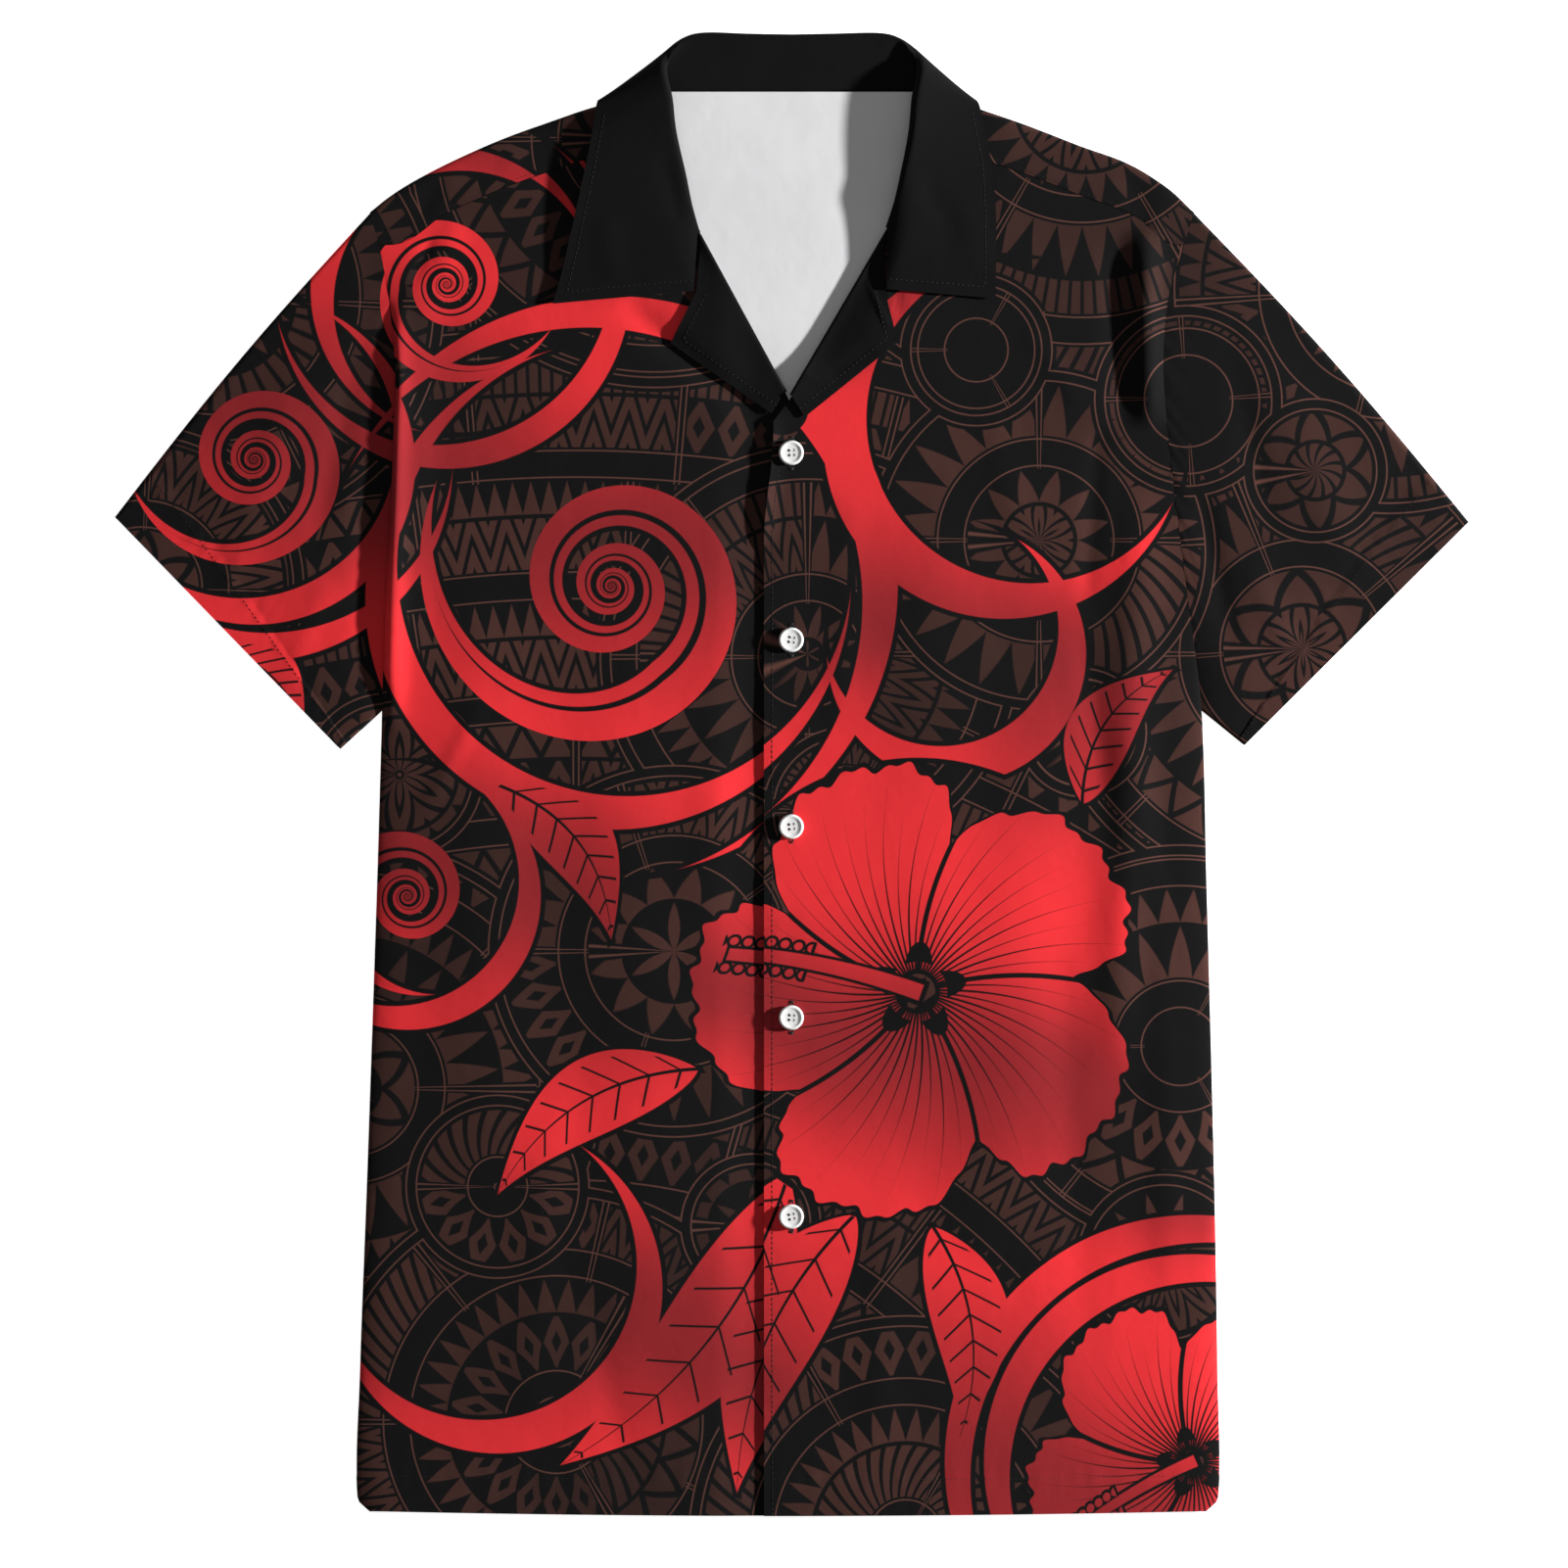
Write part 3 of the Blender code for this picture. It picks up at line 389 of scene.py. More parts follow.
def places_along(points, at):
    """Places in plan at distances along a line of points."""
    runs = runs_along(points)
    return np.stack([np.interp(at, runs, points[:, n]) for n in (0, 1)], axis=-1)


def half_width(y, side):
    """Distance of the body's side edge or armhole from the middle."""
    return along(BODY, y, "y", side)


def body_edge(y, side):
    """Side edge or armhole of the back, straight from the front's corner to the tip of the shoulder."""
    tip_x = half_width(TIP_Y, side)
    straight = mix(half_width(CORNER_Y, side), tip_x, (y - CORNER_Y) / (TIP_Y - CORNER_Y))
    return np.where(y <= CORNER_Y, half_width(np.minimum(y, CORNER_Y), side), np.minimum(straight, tip_x))


def hem_y(u):
    """Lower edge of the body; u runs from 0 in the middle to 1 at the side."""
    return mix(HEM_Y, LOW_Y, u * u)


def folds(x, y, pieces):
    """Height that the folds of the named pieces add at points."""
    total = np.zeros(np.broadcast(x, y).shape)
    for x0, y0, x1, y1, width, height in (fold for piece in pieces for fold in FOLDS.get(piece, ())):
        ax, ay = x1 - x0, y1 - y0
        t = ((x - x0) * ax + (y - y0) * ay) / (ax * ax + ay * ay)
        off = np.hypot(x - x0 - t * ax, y - y0 - t * ay) / width
        total += height * np.exp(-off * off) * np.clip(1.0 - (2.0 * t - 1.0) ** 4, 0.0, 1.0)
    return total


def neck_lift(x, y):
    """How far the body rises over the fall of the collar."""
    upward = soft_step((y - NECK_LIFT_FROM) / NECK_LIFT_RUN)
    return NECK_LIFT * upward * soft_step((NECK_LIFT_HALF - abs(x)) / NECK_LIFT_SIDE)


def side_height(y):
    """Middle of the front wall at its side edge and at the armhole."""
    rise = soft_step((y - UNDERARM_Y) / ARMHOLE_RISE)
    return mix(FRONT_SIDE, FRONT_SHOULDER, rise)


def puckers(distance, run, reach, height, length):
    """Small waves beside a seam, at a distance from it and a place along it."""
    swing = PUCKER_SWING * np.sin(run * math.tau / (length * PUCKER_SWING_LENGTH))
    return height * np.sin(run * math.tau / length + swing) * np.exp(-np.abs(distance) / reach)


def front_mid(x, y, side):
    """Middle of the wall of a front; x grows outwards on either side."""
    reach = np.maximum(half_width(y, side) - x, 0.0)
    steep = soft_step((y - STEEP_FROM) / STEEP_RUN) * soft_step((STEEP_TO - y) / STEEP_RUN)
    steep = steep * (side == "right")
    t = np.minimum(reach / mix(SIDE_ROUND, STEEP_ROUND, steep), 1.0)
    rounded = np.sqrt(1.0 - (1.0 - t) ** 2)
    world_x = x if side == "left" else -x
    crest = FRONT_CREST + folds(world_x, y, ("body", "front_" + side))
    top = mix(side_height(y), crest, rounded) + neck_lift(x, y)
    top += puckers(reach, y, *SIDE_PUCKERS) * rounded
    top += puckers(y - HEM_Y - HEM_DEPTH, x, *HEM_PUCKERS)
    if side == "right":
        top -= LAP_DIP * soft_step((LAP_DIP_END - x) / LAP_DIP_RUN)
    else:
        top += puckers(x - LAP_LEFT - PLACKET_STITCH_IN, y, *PLACKET_PUCKERS)
    return top


def opening(y, side):
    """Front edge of a front, measured outwards from the middle."""
    if side == "right":
        return np.full(np.shape(y), -LAP_RIGHT)
    return LAP_LEFT + LAP_BEND * soft_step((y - LAP_BEND_FROM) / LAP_BEND_RUN)


def spread(a, b, cell=FINE):
    """Places from a to b, b left out, a cell apart."""
    return np.linspace(a, b, max(2, math.ceil(abs(b - a) / cell) + 1))[:-1]


def shoulder_seam(side, cell=FINE):
    """Points of the seam in front of the shoulder, from the neck to the armhole."""
    end_x = float(half_width(CORNER_Y, side))
    start = end_x - SIDE_COLUMNS[0]
    x = np.concatenate((spread(NECK[side][-1][0], start, cell), end_x - np.array(SIDE_COLUMNS)))
    blend = soft_step((x - SEAM_TURN_X) / (end_x - SEAM_TURN_X))
    return x, mix(along(SHOULDER, x, "x", side) - SEAM_DROP, CORNER_Y, blend)


def shoulder_fold(side, cell=FINE):
    """Points of the fold over the shoulder, one above each point of the seam."""
    seam_x = shoulder_seam(side, cell)[0]
    shares = (seam_x - seam_x[0]) / (seam_x[-1] - seam_x[0])
    x = mix(seam_x[0], float(half_width(TIP_Y, side)), shares)
    y = along(SHOULDER, x, "x", side)
    y[-1] = TIP_Y
    return x, y


def front_tops(side):
    """Top point of each column of a front, from the opening to the armhole."""
    xs, ys = [], []
    for (ax, ay), (bx, by) in zip(NECK[side], NECK[side][1:]):
        shares = spread(0.0, 1.0, FINE / max(bx - ax, (by - ay) / 3))
        xs.append(mix(ax, bx, shares))
        ys.append(mix(ay, by, shares))
    seam_x, seam_y = shoulder_seam(side)
    return np.concatenate(xs + [seam_x]), np.concatenate(ys + [seam_y])


def wall_mesh(name, grid, wall, materials, ring=False, inner_first=False, bound=None):
    """A closed wall about a grid of points, which are NaN where there is no cloth. The side that the grid's
    normals point out of has the first material and the other side the second. The rim is like the outer side,
    and the inner side has the third material where bound says that the raw edge of a seam is overlocked."""
    rows, cols = grid.shape[:2]
    number = np.arange(rows * cols).reshape(rows, cols)
    right = np.roll(number, -1, axis=1) if ring else number[:, 1:]
    left = number if ring else number[:, :-1]
    quads = np.stack((left[:-1], right[:-1], right[1:], left[1:]), axis=-1).reshape(-1, 4)
    points = grid.reshape(-1, 3)
    quads = quads[np.isfinite(points[quads]).all(axis=(1, 2))]
    p = points[quads]
    normals = np.zeros_like(points)
    faced = np.cross(p[:, 2] - p[:, 0], p[:, 3] - p[:, 1])
    for corner in range(4):
        np.add.at(normals, quads[:, corner], faced)
    used = np.unique(quads)
    place = np.full(len(points), -1)
    place[used] = np.arange(len(used))
    normal = normals[used] / np.linalg.norm(normals[used], axis=1, keepdims=True)
    half = np.broadcast_to(wall, (rows, cols)).reshape(-1)[used][:, None] / 2
    upper = points[used] + normal * half
    lower = points[used] - normal * half
    quads = place[quads]
    count = len(used)
    edges = np.concatenate([quads[:, [a, (a + 1) % 4]] for a in range(4)])
    keys = edges[:, 0] * count + edges[:, 1]
    twins = edges[:, 1] * count + edges[:, 0]
    rim = edges[~np.isin(keys, twins)]
    faces = np.concatenate((
        quads,
        quads[:, ::-1] + count,
        np.stack((rim[:, 1], rim[:, 0], rim[:, 0] + count, rim[:, 1] + count), axis=-1),
    ))
    mesh = bpy.data.meshes.new(name)
    mesh.from_pydata(np.concatenate((upper, lower)).tolist(), [], faces.tolist())
    for material in materials:
        mesh.materials.append(material)
    index = np.full(len(faces), int(inner_first), dtype=np.int32)
    index[:len(quads)] = 0
    index[len(quads):2 * len(quads)] = min(len(materials) - 1, 1)
    if bound is not None:
        middles = lower[quads].mean(axis=1)
        inner = index[:len(quads)] if inner_first else index[len(quads):2 * len(quads)]
        inner[bound(middles[:, 0], middles[:, 1])] = 2
    mesh.polygons.foreach_set("material_index", index)
    mesh.shade_smooth()
    mesh.set_sharp_from_angle(angle=math.radians(SHARP))
    return add_object(name, mesh)


def add_object(name, data):
    """A new object in the scene."""
    thing = bpy.data.objects.new(name, data)
    bpy.context.scene.collection.objects.link(thing)
    return thing


def hem_wall(y):
    """Thickness of the body's cloth, which is doubled at the hem."""
    return np.where(y - HEM_Y < HEM_DEPTH, HEM_WALL, WALL)


def make_front(side, sign, materials):
    """A front: columns from the opening to the side, each from the hem to the neck, the seam or the armhole."""
    x_top, y_top = front_tops(side)
    start = opening(y_top, side)
    u = (x_top - start) / (half_width(np.minimum(y_top, CORNER_Y), side) - start)
    shares = np.linspace(0.0, 1.0, math.ceil((CORNER_Y - LOW_Y) / FINE) + 1)[:, None]
    y = mix(hem_y(u), y_top, shares)
    x = mix(opening(y, side), half_width(np.minimum(y, CORNER_Y), side) - SIDE_INSET, u)
    grid = np.stack((sign * x, y, front_mid(x, y, side)), axis=-1)

    def bound(x, y):
        below_top = np.interp(abs(x), x_top, y_top) - y
        at_shoulder = (below_top < OVERLOCK) & (abs(x) > NECK[side][-1][0])
        return (half_width(y, side) - abs(x) < OVERLOCK) | at_shoulder

    return wall_mesh("cloth_front_" + side, grid[:, ::sign], hem_wall(y)[:, ::sign], materials, bound=bound)


def back_mid(x, y):
    """Middle of the wall of the back where it lies on the surface."""
    beside_seam = np.abs(puckers(y - NECK_Y, x, *NECK_PUCKERS))
    return WALL / 2 + neck_lift(x, y + NECK_LIFT_LONGER) + beside_seam


def make_back(materials):
    """The back lies on the surface and wraps over both shoulders to the seam in front of them."""
    rises = np.linspace(0.0, 1.0, math.ceil((NECK_Y - HEM_Y) / COARSE) + 1)
    halves = []
    for side, sign in SIDES:
        tip_x = float(half_width(TIP_Y, side))
        inner_x = spread(0.0, NECK[side][-1][0], COARSE)
        fold_x, fold_y = shoulder_fold(side, COARSE)
        seam_x, seam_y = shoulder_seam(side, COARSE)
        u = np.concatenate((inner_x, fold_x)) / tip_x
        top = np.concatenate((np.full(len(inner_x), NECK_Y), fold_y - SHOULDER_BEND))
        y = mix(hem_y(u), top, rises[:, None])
        x = u * np.where(u < fold_x[0] / tip_x, half_width(y, side), body_edge(y, side))
        z = np.maximum(back_mid(x, y), hem_wall(y) / 2)
        rows = [np.stack((sign * x, y, z), axis=-1)]
        turn_x, turn_y = x[-1], y[-1]
        low = back_mid(turn_x, turn_y)
        for angle in np.radians(FOLD_TURNS):
            out, up = SHOULDER_BEND * np.cos(angle), SHOULDER_BEND * (1 + np.sin(angle))
            fx = u * body_edge(turn_y + out, side)
            rows.append(np.stack((sign * fx, turn_y + out, low + up), axis=-1)[None])
        seam_z = front_mid(seam_x, seam_y, side)
        blank = np.full(len(inner_x), np.nan)
        for t in np.linspace(0.0, 1.0, STRAP_ROWS):
            sx = mix(turn_x[len(inner_x):], seam_x, t)
            sy = mix(turn_y[len(inner_x):], seam_y + SEAM_GAP, t)
            sz = mix(low[len(inner_x):] + 2 * SHOULDER_BEND, seam_z, t)
            sz = sz + folds(sign * sx, sy, ("strap",)) * math.sin(math.pi * t)
            point = np.stack((sign * sx, sy, sz), axis=-1)
            rows.append(np.concatenate((np.stack((blank, blank, blank), axis=-1), point))[None])
        half = np.concatenate(rows)
        half[len(rises):, :len(inner_x)] = np.nan
        halves.append(half)
    grid = np.concatenate((halves[0][:, :0:-1], halves[1]), axis=1)

    def bound(x, y):
        side = np.where(x > 0, body_edge(y, "left"), body_edge(y, "right"))
        fold = np.where(x > 0, along(SHOULDER, abs(x), "x", "left"), along(SHOULDER, abs(x), "x", "right"))
        in_neck = abs(x) < NECK["left"][-1][0] + OVERLOCK_CLEAR
        return (side - abs(x) < OVERLOCK) | ((fold - SEAM_DROP - y < OVERLOCK) & ~in_neck)

    wall = hem_wall(np.nan_to_num(grid[..., 1]))
    return wall_mesh("cloth_back", grid, wall, materials, inner_first=True, bound=bound)


def sleeve_plan(side):
    """Points round the armhole, from the shoulder to the underarm, and their shares of its length."""
    y = np.concatenate((spread(TIP_Y, UNDERARM_Y), [UNDERARM_Y]))
    arm = np.stack((body_edge(y, side) + ARM_GAP, y), axis=-1)
    runs = runs_along(arm)
    return arm, runs / runs[-1]


def sleeve_point(side, v, w):
    """Plan of the flattened sleeve: v from the armhole to the hem, w from the top fold to the underarm."""
    arm, shares = sleeve_plan(side)
    place = np.asarray(w) * (len(arm) - 1)
    index = np.arange(len(arm))
    at = np.interp(place, index, shares)[..., None]
    at_arm = np.stack([np.interp(place, index, arm[:, n]) for n in (0, 1)], axis=-1)
    tip, corner = (np.array(c) for c in SLEEVE_CORNERS[side])
    bulge = np.array(SLEEVE_BULGE) * math.sin(math.pi * v) * (1 - at) ** 2
    return mix(at_arm, mix(tip, corner, at), v) + bulge


def sleeve_top(side, v, w, half_wall):
    """Middle of the upper layer of a sleeve, without its folds."""
    arm = sleeve_plan(side)[0]
    arm_y = np.interp(w * (len(arm) - 1), np.arange(len(arm)), arm[:, 1])
    flat = mix(half_wall + 2 * SLEEVE_BEND, side_height(arm_y), (1 - v) ** SLEEVE_SETTLE)
    out = math.sin(math.pi * min(v * SLEEVE_PUFF_RUN, 1.0)) ** SLEEVE_PUFF_POWER
    return flat, flat + SLEEVE_PUFF * np.sin(math.pi * w) * out


def make_sleeve(side, sign, materials):
    """A flattened tube: rings of an upper and a lower layer, folded at the top and at the underarm."""
    last = len(sleeve_plan(side)[0]) - 1
    rings, walls = [], []
    for v in np.concatenate((spread(0.0, 1.0, FINE / SLEEVE_LENGTH), [1.0])):
        wall = HEM_WALL if (1.0 - v) * SLEEVE_LENGTH < SLEEVE_HEM else WALL
        half_wall = wall / 2
        length = np.linalg.norm(sleeve_point(side, v, 1.0) - sleeve_point(side, v, 0.0))
        skin = half_wall / length
        ring = []
        for upper in (True, False):
            share = np.linspace(0.0, 1.0, last + 1)[:: 1 if upper else -1]
            bend = mix(SHOULDER_BEND, UNDERARM_BEND, share) if v == 0 else np.full(len(share), SLEEVE_BEND)
            inset = bend / length + skin
            w = np.clip(share, inset, 1 - inset)
            p = sleeve_point(side, v, w)
            flat, high = sleeve_top(side, v, share, half_wall)
            high = high + folds(sign * p[:, 0], p[:, 1], ("sleeve",)) * np.sin(math.pi * w)
            run = share * length
            high = high + puckers((1 - v) * SLEEVE_LENGTH - SLEEVE_HEM, run, *HEM_PUCKERS)
            high = high + puckers(v * SLEEVE_LENGTH, run, *ARMHOLE_PUCKERS) * np.sin(math.pi * w)
            z = high if upper else np.full(len(share), half_wall)
            ring.append(np.stack((sign * p[:, 0], p[:, 1], z), axis=-1))
            near = sleeve_point(side, v, 1 - inset[-1] if upper else inset[-1])
            far = sleeve_point(side, v, 1 - skin if upper else skin)
            for angle in np.radians(FOLD_TURNS[::-1] if upper else FOLD_TURNS):
                q = mix(near, far, math.cos(angle))
                z = mix(half_wall, flat[-1], (1 + math.sin(angle)) / 2)
                ring.append(np.array([[sign * q[0], q[1], z]]))
        rings.append(np.concatenate(ring)[::sign])
        walls.append(wall)
    grid = np.stack(rings)

    def bound(x, y):
        return abs(x) - body_edge(y, side) < OVERLOCK

    walls = np.array(walls)[:, None]
    return wall_mesh("cloth_sleeve_" + side, grid, walls, materials, ring=True, bound=bound)


def lapel_plan(side):
    """Places of a turned-back facing: rows from the break point to the gorge, columns out from the roll."""
    corners = [np.array(c) for c in LAPEL[side]]
    steps = np.linspace(0.0, len(LAPEL_INNER) - 1.0, (len(LAPEL_INNER) - 1) * LAPEL_STEPS + 1)
    index = np.arange(len(LAPEL_INNER))
    up = np.interp(steps, index, LAPEL_INNER)[:, None]
    place = np.interp(steps, index, LAPEL_OUTER)
    rim = np.array(corners[1:])
    outer = np.stack([np.interp(place, np.arange(len(rim)), rim[:, n]) for n in (0, 1)], axis=-1)
    inner = mix(corners[0], corners[4], up)
    across = np.linspace(0.0, 1.0, LAPEL_COLUMNS)[None, :, None]
    return mix(inner[:, None], outer[:, None], across)


def make_lapel(side, sign, materials):
    """A turned-back facing, whose roll wraps round the front's cut edge."""
    plan = lapel_plan(side)
    z = front_mid(plan[..., 0], plan[..., 1], side) + WALL + LAY_GAP
    across = np.linspace(0.0, 1.0, LAPEL_COLUMNS)
    z = z + LAPEL_SPRING * (1 - across) ** 2
    flat = np.stack((sign * plan[..., 0], plan[..., 1], z), axis=-1)
    edge = flat[-1, 0, :2] - flat[0, 0, :2]
    outward = np.array((-edge[1], edge[0], 0.0)) * sign / np.linalg.norm(edge)
    columns = []
    for angle in np.radians(ROLL_TURNS)[:0:-1]:
        drop = np.array((0.0, 0.0, -ROLL_R * (1 - math.cos(angle))))
        columns.append(flat[:, 0] + outward * ROLL_R * math.sin(angle) + drop)
    grid = np.concatenate((np.stack(columns, axis=1), flat), axis=1)
    upward = np.append(edge / np.linalg.norm(edge), 0.0)
    tucked = []
    for step, drop in LAPEL_TUCK:
        row = grid[-1] + upward * step - np.array((0.0, 0.0, drop))
        row[len(columns) + LAPEL_TUCKED_COLUMNS:] = np.nan
        tucked.append(row[None])
    grid = np.concatenate([grid] + tucked)
    return wall_mesh("cloth_lapel_" + side, grid[:, ::sign], WALL, materials)


def collar_sections(side):
    """Sections of one half of the collar, on smooth curves through the table's."""
    rows = np.array(COLLAR[side] + (COLLAR_MIDDLE,))
    before = np.concatenate((rows[:1], rows[:-1]))
    after = np.concatenate((rows[1:], rows[-1:]))
    slope = (after - before) / 2
    sections = []
    for n in range(len(rows) - 1):
        for t in np.linspace(0.0, 1.0, COLLAR_STEPS, endpoint=False):
            sections.append(Section(*curve(t, rows[n], rows[n + 1], slope[n], slope[n + 1])))
    return sections


def collar_line(section, side):
    """Middle of the collar's wall on one section: up the stand, round the roll and down the leaf."""
    seam = np.array(section[0:3])
    roll = np.array(section[3:6])
    edge = np.array(section[6:9])
    bend = section.bend
    inward = np.array((edge[0] - roll[0], edge[1] - roll[1], 0.0))
    inward /= np.linalg.norm(inward)
    aside = np.array((-inward[1], inward[0], 0.0))
    turn = math.radians(section.turn)
    facing = np.array((0.0, 0.0, math.cos(turn))) + aside * math.sin(turn)
    centre = roll + inward * bend
    line = [mix(seam, centre - facing * bend, t) for t in STAND_SHARES]
    for angle in np.radians(COLLAR_TURNS):
        line.append(centre - inward * bend * math.cos(angle) + facing * bend * math.sin(angle))
    start = centre + facing * bend
    first = COLLAR[side][0]
    gorge = np.array((first.roll_x, first.roll_y))
    tip = np.array((first.edge_x, first.edge_y))
    notch = np.array(NOTCH[side])
    for t in COLLAR_SHARES:
        if t < NOTCH_SHARE:
            corner = mix(gorge, notch, t / NOTCH_SHARE)
        else:
            corner = mix(notch, tip, (t - NOTCH_SHARE) / (1 - NOTCH_SHARE))
        bow = (corner - mix(gorge, tip, t)) * section.pull
        point = mix(start, edge, t)
        point[:2] += bow
        point[2] = mix(edge[2], start[2], (1 - t) ** LEAF_FALL)
        line.append(point)
    return np.array(line)


def collar_grid():
    """Middle of the collar's wall: a row for each section, from the right front's end to the left one's."""
    mirrored = np.array([collar_line(s, "right") for s in collar_sections("right")]) * (-1, 1, 1)
    middle = collar_line(COLLAR_MIDDLE, "left")[None]
    other = np.array([collar_line(s, "left") for s in collar_sections("left")])[::-1]
    grid = np.concatenate((mirrored, middle, other))
    leaf = np.zeros(grid.shape[1])
    leaf[-len(COLLAR_SHARES):] = np.clip(COLLAR_SHARES * FOLDED_FADE, 0, 1)
    over = (grid[..., 2] > FOLDED_FROM) * leaf
    grid[..., 2] += folds(grid[..., 0], grid[..., 1], ("collar",)) * over
    return grid


def make_collar(materials):
    return wall_mesh("cloth_collar", collar_grid(), COLLAR_WALL, materials)


class Field:
    """A number at each place of a surface, made by the nodes of a material."""

    tree = None  # the tree that nodes are added to

    def __init__(self, socket):
        self.socket = socket

    def __add__(self, other):
        return math_node("ADD", self, other)

    def __sub__(self, other):
        return math_node("SUBTRACT", self, other)

    def __mul__(self, other):
        return math_node("MULTIPLY", self, other)

    def __truediv__(self, other):
        return math_node("DIVIDE", self, other)

    def __rsub__(self, other):
        return math_node("SUBTRACT", other, self)

    def __rtruediv__(self, other):
        return math_node("DIVIDE", other, self)

    __radd__ = __add__
    __rmul__ = __mul__


def wire(value, socket):
    """Links a field or a socket to an input, or sets the input to a value."""
    if isinstance(value, Field):
        value = value.socket
    if isinstance(value, bpy.types.NodeSocket):
        Field.tree.links.new(value, socket)
    else:
        socket.default_value = value


def add_node(kind, inputs=(), **settings):
    """A node with its settings, and with its inputs by name or number."""
    node = Field.tree.nodes.new(kind)
    for name, value in settings.items():
        setattr(node, name, value)
    for key, value in dict(inputs).items():
        wire(value, node.inputs[key])
    return node


def new_tree(name, kind, inputs, outputs):
    """A node group with sockets of these names and kinds; it becomes the tree that nodes are added to."""
    tree = bpy.data.node_groups.new(name, kind)
    for way, sockets in (("INPUT", inputs), ("OUTPUT", outputs)):
        for socket, socket_kind in sockets.items():
            tree.interface.new_socket(socket, in_out=way, socket_type="NodeSocket" + socket_kind)
    Field.tree = tree
    return tree


def math_node(operation, *values, clamp=False):
    return Field(add_node("ShaderNodeMath", enumerate(values), operation=operation, use_clamp=clamp).outputs[0])


# Buttons, and what is sewn
BUTTON_PROFILE = (
    (0.0, 0.0),
    (0.74, 0.0),
    (0.88, 0.05),
    (0.97, 0.20),
    (1.0, 0.44),
    (0.99, 0.66),
    (0.955, 0.84),
    (0.91, 0.95),
    (0.865, 1.0),
    (0.81, 0.99),
    (0.76, 0.95),
    (0.70, 0.88),
    (0.62, 0.82),
    (0.50, 0.79),
    (0.0, 0.78),
)
HOLE_SIDES = 20
STITCH_SEED = 7


def finished_mesh(thing):
    """The mesh of an object with its modifiers; the object is removed."""
    bpy.context.view_layer.update()
    mesh = bpy.data.meshes.new_from_object(thing.evaluated_get(bpy.context.evaluated_depsgraph_get()))
    bpy.data.objects.remove(thing, do_unlink=True)
    return mesh


def button_mesh():
    """A turned disc with a raised rim and four holes."""
    mesh = bpy.data.meshes.new("button")
    build = bmesh.new()
    verts = [build.verts.new((r * BUTTON_R, 0, z * BUTTON_H)) for r, z in BUTTON_PROFILE]
    edges = [build.edges.new(pair) for pair in zip(verts, verts[1:])]
    around = {"axis": (0, 0, 1), "angle": math.tau, "steps": BUTTON_SIDES, "use_merge": True}
    bmesh.ops.spin(build, geom=verts + edges, cent=(0, 0, 0), **around)
    bmesh.ops.remove_doubles(build, verts=build.verts, dist=1e-6)
    bmesh.ops.recalc_face_normals(build, faces=build.faces)
    build.to_mesh(mesh)
    build.free()
    blank = add_object("button blank", mesh)
    drills = []
    for n in range(4):
        angle = math.tau * (n + 0.5) / 4
        drill_mesh = bpy.data.meshes.new("drill")
        build = bmesh.new()
        size = {"radius1": BUTTON_HOLE_R, "radius2": BUTTON_HOLE_R, "depth": 4 * BUTTON_H}
        bmesh.ops.create_cone(build, cap_ends=True, segments=HOLE_SIDES, **size)
        build.to_mesh(drill_mesh)
        build.free()
        drill = add_object("drill", drill_mesh)
        drill.location = (BUTTON_HOLE_RING * math.cos(angle), BUTTON_HOLE_RING * math.sin(angle), 0)
        blank.modifiers.new("hole", "BOOLEAN").object = drill
        drills.append(drill)
    holed = finished_mesh(blank)
    for drill in drills:
        bpy.data.objects.remove(drill, do_unlink=True)
    holed.shade_smooth()
    holed.set_sharp_from_angle(angle=math.radians(BUTTON_SHARP))
    return holed


def button_seat(y):
    """Height of the underside of a button."""
    highest = max(float(front_mid(BUTTON_X + out, y, "left")) for out in (-BUTTON_R, 0, BUTTON_R))
    return highest + WALL / 2 + SEAM_GAP


def make_buttons(material):
    """The buttons, each turned a little."""
    blank = button_mesh()
    blank.materials.clear()
    blank.materials.append(material)
    for n, y in enumerate(BUTTON_LEVELS, 1):
        mesh = blank.copy()
        turned = Matrix.Rotation(math.radians(BUTTON_TURNS[n - 1]), 4, "Z")
        mesh.transform(Matrix.Translation((BUTTON_X, y, button_seat(y))) @ turned)
        add_object(f"shirt_button_{n}", mesh)


